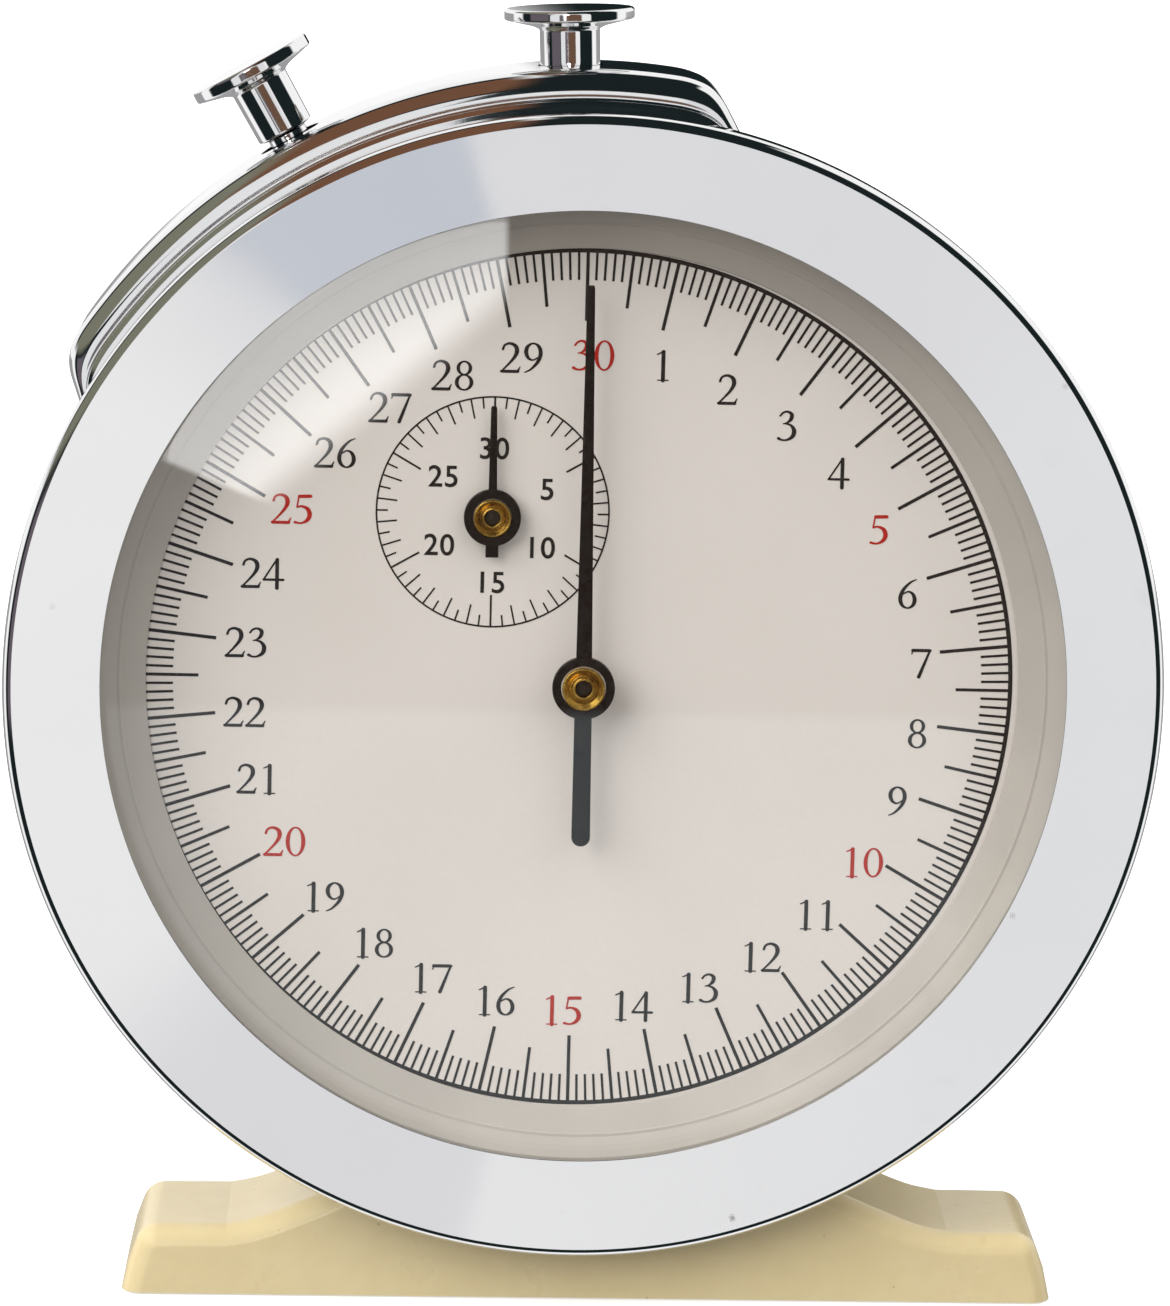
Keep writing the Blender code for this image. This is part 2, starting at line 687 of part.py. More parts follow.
def make_escapement():
    fork = [(-1.7, -3.9), (-0.6, -4.3), (-0.2, -3.6), (1.0, -1.2), (3.6, -0.7), (4.9, -1.3), (4.9, -0.55),
            (4.1, 0.0), (4.9, 0.55), (4.9, 1.3), (3.6, 0.7), (1.0, 1.2), (-0.2, 3.6), (-0.6, 4.3),
            (-1.7, 3.9), (-1.1, 1.8), (-1.1, -1.8)]
    frame = in_clock(*PALLET_AT, ESCAPE_ANGLE)
    join(
        prism("pallet_fork", [fork], -0.9, -0.2, "steel", frame),
        rod("pallet_arbor", 0.7, -10.2, 6.6, frame, 10),
    )
    staff = in_clock(*BALANCE_AT, ESCAPE_ANGLE)
    arms = [(-6.2, -0.6), (6.2, -0.6), (6.2, 0.6), (-6.2, 0.6)]
    wheel = prism("balance_wheel", [circle(7.2, 24), circle(5.9, 24)], -12.4, -11.4, "brass", staff)
    join(
        wheel,
        prism("balance_arms", [arms], -12.3, -11.5, None, staff, True),
        rod("balance_staff", 0.7, -14.4, 6.6, staff, 10),
    )
    curve = bpy.data.curves.new("hairspring", "CURVE")
    curve.dimensions = "3D"
    curve.bevel_depth = 0.13
    curve.bevel_resolution = 0
    curve.use_fill_caps = True
    spline = curve.splines.new("POLY")
    turns, sides = 3.0, 10
    count = int(turns * sides) + 1
    spline.points.add(count - 1)
    for i, point in enumerate(spline.points):
        radius = 1.4 + 3.6 * i / (count - 1)
        angle = math.tau * i / sides
        point.co = (radius * math.cos(angle), radius * math.sin(angle), -13.1, 1.0)
    curve_to_node("hairspring", curve, "blued_steel", staff)
    cock = prism(
        "balance_cock",
        [[(-2.6, -1.6), (-1.0, -2.4), (9.0, -2.6), (12.4, -2.6), (12.4, 2.6), (9.0, 2.6), (-1.0, 2.4),
          (-2.6, 1.6)], circle(1.0, 10)],
        -14.9,
        -13.9,
        "plate_brass",
        staff,
    )
    join(cock, box("cock_foot", (8.6, -2.4, -14.2), (3.6, 4.8, 3.4), staff))


def make_barrel():
    frame = in_clock(*BARREL_AT)
    facing = heading(BARREL_AT, MINUTE_AT)
    barrel = prism(
        "barrel",
        [wheel_outline(BARREL_TEETH, BARREL_MODULE, facing), circle(10.4, 22)],
        -4.8,
        -3.8,
        "brass",
        frame,
    )
    join(
        barrel,
        lathe(
            "barrel_cup",
            [(11.0, -4.2), (11.0, -8.4), (1.3, -8.4), (1.3, -7.8), (10.2, -7.8), (10.2, -4.2)],
            None,
            frame,
            22,
            True,
        ),
    )
    start = heading(BARREL_AT, CROWN_WHEEL_AT)
    ratchet = prism(
        "ratchet_wheel",
        [wheel_outline(RATCHET_TEETH, WINDING_MODULE, start)],
        -2.9,
        -2.0,
        "steel",
        frame,
    )
    join(ratchet, rod("barrel_arbor", 0.9, -10.2, 6.6, frame, 10), rod("arbor_hub", 1.6, -7.4, -2.4, frame, 12))
    strip = bpy.data.curves.new("mainspring", "CURVE")
    strip.dimensions = "2D"
    strip.fill_mode = "NONE"
    outer, inner = [], []
    for i in range(41):
        angle = math.tau * i / 14
        radius = 2.2 + 7.2 * i / 40
        inner.append((radius * math.cos(angle), radius * math.sin(angle)))
        outer.append(((radius + 0.35) * math.cos(angle), (radius + 0.35) * math.sin(angle)))
    prism("mainspring", [inner + outer[::-1]], -7.4, -4.9, "blued_steel", frame)
    crown_wheel = prism(
        "crown_wheel",
        [wheel_outline(CROWN_WHEEL_TEETH, WINDING_MODULE, start + 180 + 180 / CROWN_WHEEL_TEETH), circle(1.5, 12)],
        -2.9,
        -1.5,
        "steel",
        in_clock(*CROWN_WHEEL_AT),
    )
    plate = join(
        bpy.data.objects["back_plate"],
        rod("crown_wheel_post", 1.2, -9.3, -1.2, in_clock(*CROWN_WHEEL_AT), 12),
        rod("click_post", 0.8, -9.3, -1.6, in_clock(*CLICK_AT), 10),
    )
    beak = [(-1.5, -1.0), (0.6, -1.3), (5.6, -0.2), (5.4, 0.3), (0.4, 1.3), (-1.5, 1.0)]
    prism("click", [beak, circle(1.1, 10)], -2.9, -2.1, "steel", in_clock(*CLICK_AT, CLICK_TURN))
    return crown_wheel, plate


# The click stands just outside the ratchet wheel and its beak lies along the wheel's edge.
CLICK_AT = tuple(Vector(BARREL_AT) + Vector(polar(14.9, 170.0)))
CLICK_TURN = 272.0

# Levers that the two buttons work, each on a post of the front plate.
START_LEVER_AT = (12.0, 42.6)
HAMMER_AT = (-32.0, 29.4)


def make_levers():
    tip = Vector(polar(44.1, 90 - CROWN_ANGLE))
    reach = tip - Vector(START_LEVER_AT)
    angle = math.degrees(math.atan2(reach.y, reach.x))
    length = reach.length
    frame = in_clock(*START_LEVER_AT, angle)
    arm = [(-1.8, -1.6), (2.0, -1.6), (length - 1.0, 0.0), (length + 1.4, 0.0), (length + 1.4, 2.2),
           (length - 1.0, 2.2), (2.0, 2.0), (-1.8, 1.8)]
    prism("start_lever", [arm, circle(1.1, 10)], 3.3, 4.1, "steel", frame)
    hit = Vector(polar(43.6, 90 - RESET_ANGLE))
    reach = hit - Vector(HAMMER_AT)
    angle = math.degrees(math.atan2(reach.y, reach.x))
    length = reach.length
    frame = in_clock(*HAMMER_AT, angle)
    arm = [(-1.8, -1.8), (1.4, -1.8), (2.2, -6.4), (4.4, -8.2), (5.4, -7.4), (3.8, -5.6), (3.6, -1.6),
           (length + 1.0, -1.6), (length + 1.0, 0.0), (length - 1.0, 0.0), (2.0, 1.7), (-1.8, 1.7)]
    prism("reset_hammer", [arm, circle(1.1, 10)], 1.5, 2.5, "steel", frame)
    join(
        bpy.data.objects["front_plate"],
        rod("start_post", 0.8, 2.9, 5.7, in_clock(*START_LEVER_AT), 10),
        rod("hammer_post", 0.8, 1.2, 5.7, in_clock(*HAMMER_AT), 10),
    )


def make_stand():
    half = [(47.5, 0.0), (46.8, 3.2), (45.4, 7.2), (36.4, 7.3), (33.4, 7.9), (29.9, 9.1), (26.4, 10.5),
            (22.4, 12.3), (19.0, 14.0)]
    outline = [(BASE_SHIFT + x, z) for x, z in half] + [(BASE_SHIFT - x, z) for x, z in reversed(half)]
    turned = Matrix.Rotation(math.radians(90), 4, "X")
    stand = prism("base_stand", [outline], BASE_BACK, BASE_FRONT, "stand_plastic", turned)
    bevel = stand.modifiers.new("soft edges", "BEVEL")
    bevel.width = 2.1 * MM
    bevel.segments = 3
    bevel.limit_method = "ANGLE"
    bevel.angle_limit = math.radians(35)
    tools = [rod("cradle", DRUM_RADIUS + GAP, -30, 30, in_clock(), 96)]
    for side in (-1, 1):
        for inner, outer in ((2.0, 20.0), (22.0, 42.0)):
            low = min(side * inner, side * outer)
            tools.append(box(f"pocket_{side}_{inner:.0f}", (low, -8.0, -2.0), (outer - inner, 13.0, 6.8), upright()))
        tools.append(rod(f"stand_hole_{side}", 1.7, 4.0, 12.0, upright(side * BASE_SCREW_X), 12))
    drill(stand, *tools)
    for word, side in (("left", -1), ("right", 1)):
        lathe(
            f"base_screw_{word}",
            [(0, 12.6), (1.3, 12.6), (1.3, 4.5), (2.8, 4.5), (2.6, 2.8), (0, 2.8)],
            "steel",
            upright(side * BASE_SCREW_X),
            12,
        )
    clamp = prism(
        "base_clamp_plate",
        [[(-14, -5), (14, -5), (14, 5), (-14, 5)], circle(1.6, 12, -BASE_SCREW_X), circle(1.6, 12, BASE_SCREW_X)],
        11.6,
        13.0,
        "steel",
        upright(),
    )
    return clamp


make_case()
make_housing()
make_buttons()
make_hands()
make_plates()
make_train()
make_escapement()
make_barrel()
make_levers()
make_stand()
smooth_round_pieces()
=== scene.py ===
"""Looks for the bench stop clock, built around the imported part."""

from math import acos, atan2, cos, pi, radians, sin, sqrt, tan, tau

import bmesh
import bpy
from mathutils import Matrix, Vector, geometry


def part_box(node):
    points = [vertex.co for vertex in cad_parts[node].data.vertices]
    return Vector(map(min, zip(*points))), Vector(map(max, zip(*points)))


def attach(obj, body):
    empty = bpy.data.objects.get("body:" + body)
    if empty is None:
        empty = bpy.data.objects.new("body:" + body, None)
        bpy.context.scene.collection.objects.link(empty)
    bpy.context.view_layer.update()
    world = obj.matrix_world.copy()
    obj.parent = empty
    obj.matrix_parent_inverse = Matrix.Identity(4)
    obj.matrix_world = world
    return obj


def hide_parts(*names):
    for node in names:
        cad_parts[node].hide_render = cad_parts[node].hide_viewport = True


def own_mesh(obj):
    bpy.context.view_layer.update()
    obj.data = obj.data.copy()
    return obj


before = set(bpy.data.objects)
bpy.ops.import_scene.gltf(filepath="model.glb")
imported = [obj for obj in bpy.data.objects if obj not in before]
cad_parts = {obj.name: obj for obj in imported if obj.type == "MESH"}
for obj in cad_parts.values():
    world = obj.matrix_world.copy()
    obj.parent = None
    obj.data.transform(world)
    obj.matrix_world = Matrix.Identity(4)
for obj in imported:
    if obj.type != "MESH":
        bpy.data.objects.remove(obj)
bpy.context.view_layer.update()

MM = 0.001

# ---- the clock's own frame
BEZEL_LOW, BEZEL_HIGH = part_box("bezel")
CENTRE_Z = (BEZEL_LOW.z + BEZEL_HIGH.z) / 2
BEZEL_R = (BEZEL_HIGH.x - BEZEL_LOW.x) / 2 / MM
FRONT_H = -BEZEL_LOW.y / MM
BACK_H = -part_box("back_cover")[1].y / MM
DIAL_H = -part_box("dial")[0].y / MM
CLOCK = Matrix.Translation((0, 0, CENTRE_Z)) @ Matrix.Rotation(radians(90), 4, "X")
CROWN_TILT, RESET_TILT, BUTTON_H = -2.1, -29.4, 2.0
MINUTE_AT = (-9.2, 16.5)
PRINT_SHIFT, PRINT_TURN = (-0.51, 0.05), 0.29
SHARP, NEARLY_STRAIGHT = radians(38), radians(176)


def on_radius(angle):
    """Local z points out of the case at this many degrees clockwise from twelve."""
    a = radians(angle)
    out, along = Vector((sin(a), cos(a), 0)), Vector((cos(a), -sin(a), 0))
    turn = Matrix((along, Vector((0, 0, 1)), out)).transposed().to_4x4()
    if turn.determinant() < 0:
        turn = Matrix((-along, Vector((0, 0, 1)), out)).transposed().to_4x4()
    return CLOCK @ Matrix.Translation((0, 0, BUTTON_H * MM)) @ turn


def in_clock(x, y, turn=0.0):
    """The dial's frame moved to this point and turned clockwise."""
    return CLOCK @ Matrix.Translation((x * MM, y * MM, 0)) @ Matrix.Rotation(radians(-turn), 4, "Z")


# ---- mesh helpers (millimetres in, metres out)
def put_in_scene(name, data):
    obj = bpy.data.objects.new(name, data)
    bpy.context.scene.collection.objects.link(obj)
    return obj


def evaluated_mesh(obj):
    """A mesh of what the object shows, its modifiers applied."""
    bpy.context.view_layer.update()
    return bpy.data.meshes.new_from_object(obj.evaluated_get(bpy.context.evaluated_depsgraph_get()))


def cleaned(mesh, merge):
    """The mesh with points this near each other merged and its faces turned outwards."""
    bm = bmesh.new()
    bm.from_mesh(mesh)
    bmesh.ops.remove_doubles(bm, verts=bm.verts, dist=merge)
    bmesh.ops.recalc_face_normals(bm, faces=bm.faces)
    bm.to_mesh(mesh)
    bm.free()
    return mesh


def add_piece(name, mesh, material, body, replaces=(), matrix=CLOCK, smooth=True):
    """One piece that rides on a body, its mesh given this one material."""
    mesh.transform(matrix @ Matrix.Scale(MM, 4))
    mesh.materials.clear()
    mesh.materials.append(material)
    if smooth:
        mesh.shade_smooth()
        mesh.set_sharp_from_angle(angle=SHARP)
    obj = put_in_scene(name, mesh)
    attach(obj, body)
    if replaces:
        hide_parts(*replaces)
    return obj


def mesh_of(name, verts, faces):
    mesh = bpy.data.meshes.new(name)
    mesh.from_pydata([tuple(v) for v in verts], [], faces)
    return cleaned(mesh, 1e-5)


def eased(points, radius=0.2, steps=4, closed=True):
    """The outline with each corner rounded. A corner may carry its own radius as a third number.

    A support point stands either side of each arc, so that flats shade flat."""
    out = []
    count = len(points)
    for i, point in enumerate(points):
        p = Vector(point[:2])
        r = point[2] if len(point) > 2 else radius
        if not closed and i in (0, count - 1):
            out.append(p)
            continue
        before, after = Vector(points[i - 1][:2]), Vector(points[(i + 1) % count][:2])
        a, b = (before - p), (after - p)
        la, lb = a.length, b.length
        a.normalize()
        b.normalize()
        angle = acos(max(-1.0, min(1.0, a.dot(b))))
        if r <= 0 or angle > NEARLY_STRAIGHT:
            out.append(p)
            continue
        reach = min(r / tan(angle / 2), la * 0.42, lb * 0.42)
        hold = min(0.12 * reach + 0.04, la * 0.05, lb * 0.05)
        start, end = p + a * reach, p + b * reach
        out.append(start + a * hold)
        for k in range(steps + 1):
            t = k / steps
            out.append(start * (1 - t) ** 2 + p * 2 * t * (1 - t) + end * t * t)
        out.append(end + b * hold)
    return out


def lathe_mesh(name, outline, segments, closed=True):
    """A solid turned about local z from (radius, height) points.

    An open outline starts and ends on the axis."""
    verts, faces = [], []
    rows = len(outline)
    for i in range(segments):
        a = tau * i / segments
        c, s = cos(a), sin(a)
        verts += [(r * c, r * s, h) for r, h in outline]
    last = rows if closed else rows - 1
    for i in range(segments):
        n = (i + 1) % segments
        for j in range(last):
            k = (j + 1) % rows
            a, b, c, d = i * rows + j, i * rows + k, n * rows + k, n * rows + j
            on_axis = [abs(outline[j][0]) < 1e-9, abs(outline[k][0]) < 1e-9]
            if all(on_axis):
                continue
            if on_axis[0]:
                faces.append((a, b, c))
            elif on_axis[1]:
                faces.append((a, b, d))
            else:
                faces.append((a, b, c, d))
    return mesh_of(name, verts, faces)


def lathe(name, outline, material, body, segments, closed=True, **options):
    return add_piece(name, lathe_mesh(name, outline, segments, closed), material, body, **options)


def plate_mesh(name, outlines, low, high, bevel):
    """A flat plate cut to closed outlines, holes included, between two heights."""
    curve = bpy.data.curves.new(name, "CURVE")
    curve.dimensions = "2D"
    curve.fill_mode = "BOTH"
    curve.extrude = (high - low) / 2 - bevel
    curve.bevel_depth = bevel
    curve.bevel_resolution = 2
    curve.offset = -bevel
    for outline in outlines:
        spline = curve.splines.new("POLY")
        spline.points.add(len(outline) - 1)
        for point, (x, y) in zip(spline.points, outline):
            point.co = (x, y, 0, 1)
        spline.use_cyclic_u = True
    holder = put_in_scene(name, curve)
    mesh = evaluated_mesh(holder)
    bpy.data.objects.remove(holder)
    bpy.data.curves.remove(curve)
    mesh.transform(Matrix.Translation((0, 0, (low + high) / 2)))
    return cleaned(mesh, 1e-4)


def print_mesh(name, patches, low, high):
    """Ink: small convex patches, which may overlap, merged into one sheet as thick as the ink."""
    points, faces = [], []
    for patch in patches:
        corners = [Vector(p) for p in patch]
        if sum(a.cross(b) for a, b in zip(corners, corners[1:] + corners[:1])) < 0:
            corners.reverse()
        faces.append(list(range(len(points), len(points) + len(corners))))
        points += corners
    flat, _, tris, _, _, origins = geometry.delaunay_2d_cdt(points, [], faces, 0, 1e-6)
    tris = [t for t, o in zip(tris, origins) if o]
    edges = {}
    for t in tris:
        for a, b in zip(t, t[1:] + t[:1]):
            edges[(a, b)] = edges.get((a, b), 0) + 1
    count = len(flat)
    verts = [(p.x, p.y, high) for p in flat] + [(p.x, p.y, low) for p in flat]
    sheet = [tuple(t) for t in tris] + [tuple(i + count for i in reversed(t)) for t in tris]
    sheet += [(a, a + count, b + count, b) for a, b in edges if (b, a) not in edges]
    mesh = bpy.data.meshes.new(name)
    mesh.from_pydata(verts, [], sheet)
    bm = bmesh.new()
    bm.from_mesh(mesh)
    loose = [v for v in bm.verts if not v.link_faces]
    bmesh.ops.delete(bm, geom=loose, context="VERTS")
    bmesh.ops.recalc_face_normals(bm, faces=bm.faces)
    bm.to_mesh(mesh)
    bm.free()
    return mesh


def cut(mesh, tools):
    """The mesh less each tool mesh in turn."""
    target = put_in_scene("working", mesh)
    for tool_mesh in tools:
        tool = put_in_scene("tool", tool_mesh)
        mod = target.modifiers.new("b", "BOOLEAN")
        mod.operation, mod.solver, mod.object = "DIFFERENCE", "EXACT", tool
        made = evaluated_mesh(target)
        target.modifiers.clear()
        target.data = made
        bpy.data.objects.remove(tool)
    made = target.data
    bpy.data.objects.remove(target)
    return made


def even_shading(mesh, sharp):
    """The mesh with its large faces' normals kept true and its edges beyond this angle left sharp."""
    mesh.shade_smooth()
    mesh.set_sharp_from_angle(angle=sharp)
    holder = put_in_scene("shaded", mesh)
    mod = holder.modifiers.new("w", "WEIGHTED_NORMAL")
    mod.keep_sharp = True
    made = evaluated_mesh(holder)
    bpy.data.objects.remove(holder)
    return made


def cylinder_mesh(radius, low, high, segments, matrix):
    outline = [(0, low), (radius, low), (radius, high), (0, high)]
    mesh = lathe_mesh("cylinder", outline, segments, closed=False)
    mesh.transform(matrix)
    return mesh


def block_mesh(size, centre, matrix=None):
    mesh = bpy.data.meshes.new("block")
    bm = bmesh.new()
    bmesh.ops.create_cube(bm, size=1.0)
    bmesh.ops.scale(bm, verts=bm.verts, vec=size)
    bmesh.ops.translate(bm, verts=bm.verts, vec=centre)
    bm.to_mesh(mesh)
    bm.free()
    if matrix is not None:
        mesh.transform(matrix)
    return mesh


def polar(radius, clockwise):
    a = radians(clockwise)
    return Vector((radius * sin(a), radius * cos(a)))


def circle(radius, count):
    return [(radius * cos(tau * i / count), radius * sin(tau * i / count)) for i in range(count)]


def spline_through(points, steps):
    """A smooth line through the points, with this many steps to each gap."""
    fine, last = [], len(points) - 1
    for i in range(last):
        p0, p1, p2, p3 = points[max(i - 1, 0)], points[i], points[i + 1], points[min(i + 2, last)]
        for k in range(steps):
            t = k / steps
            fine.append(0.5 * (2 * p1 + (p2 - p0) * t + (2 * p0 - 5 * p1 + 4 * p2 - p3) * t * t
                               + (3 * p1 - p0 - 3 * p2 + p3) * t**3))
    return fine + [points[-1]]


def button_cutters(radius, low, high, segments):
    """A cylinder along each button's axis, in the dial's millimetres."""
    to_dial = Matrix.Scale(1 / MM, 4) @ CLOCK.inverted()
    return [cylinder_mesh(radius, low, high, segments, to_dial @ on_radius(tilt) @ Matrix.Scale(MM, 4))
            for tilt in (CROWN_TILT, RESET_TILT)]


# ---- materials
class Nodes:
    """Short ways to add shader nodes to a tree."""

    def __init__(self, tree):
        self.tree = tree

    def link(self, a, b):
        self.tree.links.new(a, b)

    def node(self, kind, inputs=(), **settings):
        made = self.tree.nodes.new("ShaderNode" + kind)
        for key, value in settings.items():
            setattr(made, key, value)
        for key, value in dict(inputs).items():
            if isinstance(value, bpy.types.NodeSocket):
                self.link(value, made.inputs[key])
            else:
                made.inputs[key].default_value = value
        return made

    def ranged(self, value, from_low, from_high, to_low, to_high, kind="LINEAR"):
        limits = {"From Min": from_low, "From Max": from_high, "To Min": to_low, "To Max": to_high}
        return self.node("MapRange", {"Value": value, **limits}, interpolation_type=kind).outputs[0]

    def step(self, value, start, end):
        """0 at start and 1 at end, eased."""
        if start > end:
            return self.ranged(value, end, start, 1.0, 0.0, "SMOOTHSTEP")
        return self.ranged(value, start, end, 0.0, 1.0, "SMOOTHSTEP")

    def math(self, operation, a, b=None):
        return self.node("Math", {0: a} if b is None else {0: a, 1: b}, operation=operation).outputs[0]

    def mix(self, fac, a, b):
        made = self.node("Mix", data_type="RGBA")
        for socket, value in ((made.inputs[0], fac), (made.inputs[6], a), (made.inputs[7], b)):
            if isinstance(value, bpy.types.NodeSocket):
                self.link(value, socket)
            elif isinstance(value, tuple):
                socket.default_value = (*value, 1)
            else:
                socket.default_value = value
        return made.outputs[2]


class Look(Nodes):
    """A procedural material: one Principled shader, with object coordinates to drive its detail."""

    def __init__(self, name, base, **values):
        self.material = bpy.data.materials.new(name)
        self.material.use_nodes = True
        super().__init__(self.material.node_tree)
        self.shader = self.tree.nodes["Principled BSDF"]
        self.shader.inputs["Base Color"].default_value = (*base, 1)
        for key, value in values.items():
            self.shader.inputs[key.replace("_", " ")].default_value = value
        self.where = self.node("TexCoord").outputs["Object"]

    def noise(self, scale, detail=3.0, roughness=0.55, stretch=None):
        where = self.where
        if stretch:
            where = self.node("Mapping", {"Vector": where, "Scale": stretch}).outputs[0]
        settings = {"Vector": where, "Scale": scale, "Detail": detail, "Roughness": roughness}
        return self.node("TexNoise", settings).outputs["Fac"]

    def varied(self, low, high, *noise, start=0.3):
        """Noise that wanders from one value to the other."""
        return self.ranged(self.noise(*noise), start, 0.7, low, high)

    def spots(self, scale, size, soft, seed=0.0):
        """1 on small spots of about this share of a cell, 0 elsewhere."""
        shift = (seed, seed * 0.7, -seed)
        where = self.node("Mapping", {"Vector": self.where, "Location": shift}).outputs[0]
        made = self.node("TexVoronoi", {"Vector": where, "Scale": scale, "Randomness": 1.0})
        return self.ranged(made.outputs["Distance"], size, size + soft, 1.0, 0.0)

    def colour(self, socket):
        self.link(socket, self.shader.inputs["Base Color"])
        return self

    def roughness(self, socket):
        self.link(socket, self.shader.inputs["Roughness"])
        return self

    def bump(self, height, distance, strength):
        made = self.node("Bump", {"Height": height, "Distance": distance, "Strength": strength})
        if self.shader.inputs["Normal"].is_linked:
            self.link(self.shader.inputs["Normal"].links[0].from_socket, made.inputs["Normal"])
        self.link(made.outputs[0], self.shader.inputs["Normal"])
        return self


def srgb(*rgb):
    return tuple(c / 12.92 if c <= 0.04045 else ((c + 0.055) / 1.055) ** 2.4 for c in rgb)


def chrome_look():
    look = Look("polished chrome plate", (0.88, 0.885, 0.9), Metallic=1.0, Specular_IOR_Level=0.5)
    patchy = look.ranged(look.noise(22, 2), 0.55, 0.62, 0, 1)
    pits = look.math("MULTIPLY", look.spots(170, 0.03, 0.05), patchy)
    haze = look.ranged(look.noise(55, 4), 0.35, 0.75, 0.03, 0.085)
    look.roughness(look.math("ADD", haze, look.ranged(pits, 0, 1, 0, 0.4)))
    tone = look.mix(look.varied(0, 1, 30, 3), (0.87, 0.87, 0.875), (0.9, 0.9, 0.903))
    handled = look.ranged(look.noise(48, 5, 0.62), 0.62, 0.76, 0, 0.5)
    tone = look.mix(handled, tone, (0.72, 0.725, 0.72))
    look.colour(look.mix(look.math("MULTIPLY", pits, 0.5), tone, (0.42, 0.41, 0.4)))
    look.bump(look.noise(900, 3, 0.6), 2e-6, 0.35)
    look.bump(look.noise(60, 2, 0.5), 2e-5, 0.25)
    return look.material


def plated_steel_look():
    """The drum: duller plating, drawn round the case."""
    look = Look("satin plated steel", (0.74, 0.745, 0.75), Metallic=1.0)
    drawn = look.noise(180, 3, 0.6, stretch=(0.06, 14, 0.06))
    look.roughness(look.ranged(drawn, 0.3, 0.7, 0.14, 0.3))
    worn = look.varied(0, 1, 45, 3, start=0.35)
    look.colour(look.mix(worn, (0.70, 0.705, 0.71), (0.80, 0.80, 0.805)))
    look.bump(drawn, 6e-6, 0.4)
    return look.material


def steel_look():
    look = Look("turned steel", (0.58, 0.58, 0.59), Metallic=1.0)
    grain = look.noise(700, 3, 0.6, stretch=(1, 0.2, 1))
    look.roughness(look.ranged(grain, 0.3, 0.7, 0.2, 0.38))
    worn = look.varied(0, 1, 160, 3, start=0.35)
    look.colour(look.mix(worn, (0.52, 0.525, 0.54), (0.64, 0.64, 0.64)))
    look.bump(grain, 5e-6, 0.4)
    return look.material


def brass_look():
    look = Look("turned brass", (0.62, 0.40, 0.13), Metallic=1.0)
    tarnish = look.varied(0, 1, 420, 4, start=0.35)
    look.colour(look.mix(tarnish, srgb(0.78, 0.63, 0.29), srgb(0.52, 0.40, 0.18)))
    look.roughness(look.varied(0.14, 0.34, 900, 3))
    look.bump(look.noise(1500, 2, 0.5, stretch=(1, 0.3, 1)), 4e-6, 0.4)
    return look.material


def plate_brass_look():
    look = Look("brushed plate brass", (0.66, 0.48, 0.20), Metallic=1.0)
    brushed = look.noise(240, 4, 0.65, stretch=(12, 1, 0.12))
    streaks = look.ranged(brushed, 0.3, 0.7, 0, 1)
    look.colour(look.mix(streaks, srgb(0.80, 0.66, 0.38), srgb(0.90, 0.77, 0.49)))
    look.roughness(look.ranged(brushed, 0.3, 0.7, 0.22, 0.4))
    look.bump(brushed, 6e-6, 0.5)
    return look.material


def blued_look():
    look = Look("blued spring steel", (0.03, 0.06, 0.2), Metallic=1.0)
    temper = look.varied(0, 1, 300, 2)
    look.colour(look.mix(temper, (0.03, 0.07, 0.26), (0.09, 0.08, 0.22)))
    look.roughness(look.varied(0.18, 0.32, 1200, 2))
    return look.material


def stand_look():
    look = Look("moulded cream plastic", srgb(0.93, 0.86, 0.70), Specular_IOR_Level=0.5, IOR=1.49,
                Coat_Weight=0.3, Coat_Roughness=0.12, Subsurface_Weight=0.12,
                Subsurface_Radius=(0.004, 0.0025, 0.001), Subsurface_Scale=0.6)
    aged = look.ranged(look.noise(26, 4, 0.6), 0.3, 0.72, 0, 1)
    fine = look.varied(0, 1, 420, 3, 0.6)
    tone = look.mix(aged, srgb(0.91, 0.84, 0.66), srgb(0.892, 0.816, 0.622))
    tone = look.mix(look.ranged(fine, 0, 1, 0.0, 0.16), tone, srgb(0.82, 0.72, 0.50))
    specks = look.spots(340, 0.03, 0.03, seed=3.1)
    look.colour(look.mix(look.ranged(specks, 0, 1, 0, 0.55), tone, srgb(0.55, 0.44, 0.28)))
    look.roughness(look.varied(0.25, 0.36, 90, 4))
    look.bump(look.noise(150, 3, 0.5), 4e-5, 0.3)
    look.bump(look.noise(1400, 2, 0.5), 6e-6, 0.3)
    return look.material


def dial_look():
    look = Look("dial enamel", srgb(0.9, 0.88, 0.84), Specular_IOR_Level=0.35)
    cloud = look.varied(0, 1, 40, 3)
    grain = look.varied(0, 1, 1800, 3, 0.6)
    tone = look.mix(cloud, srgb(0.905, 0.875, 0.845), srgb(0.885, 0.855, 0.82))
    look.colour(look.mix(look.ranged(grain, 0, 1, 0, 0.2), tone, srgb(0.85, 0.82, 0.78)))
    look.roughness(look.varied(0.45, 0.62, 200, 3))
    look.bump(look.noise(2200, 2, 0.5), 4e-6, 0.3)
    return look.material


def ring_look():
    look = Look("ring paint", srgb(0.8, 0.77, 0.72), Specular_IOR_Level=0.4)
    cloud = look.varied(0, 1, 60, 3)
    look.colour(look.mix(cloud, srgb(0.73, 0.705, 0.665), srgb(0.69, 0.665, 0.63)))
    look.roughness(look.varied(0.38, 0.55, 240, 3))
    look.bump(look.noise(1500, 2, 0.5), 5e-6, 0.3)
    return look.material


def ink_look(name, dark, pale):
    look = Look(name, dark, Specular_IOR_Level=0.15)
    worn = look.ranged(look.noise(2600, 4, 0.7), 0.35, 0.75, 0, 1)
    look.colour(look.mix(worn, dark, pale))
    look.roughness(look.varied(0.5, 0.75, 900, 2))
    return look.material


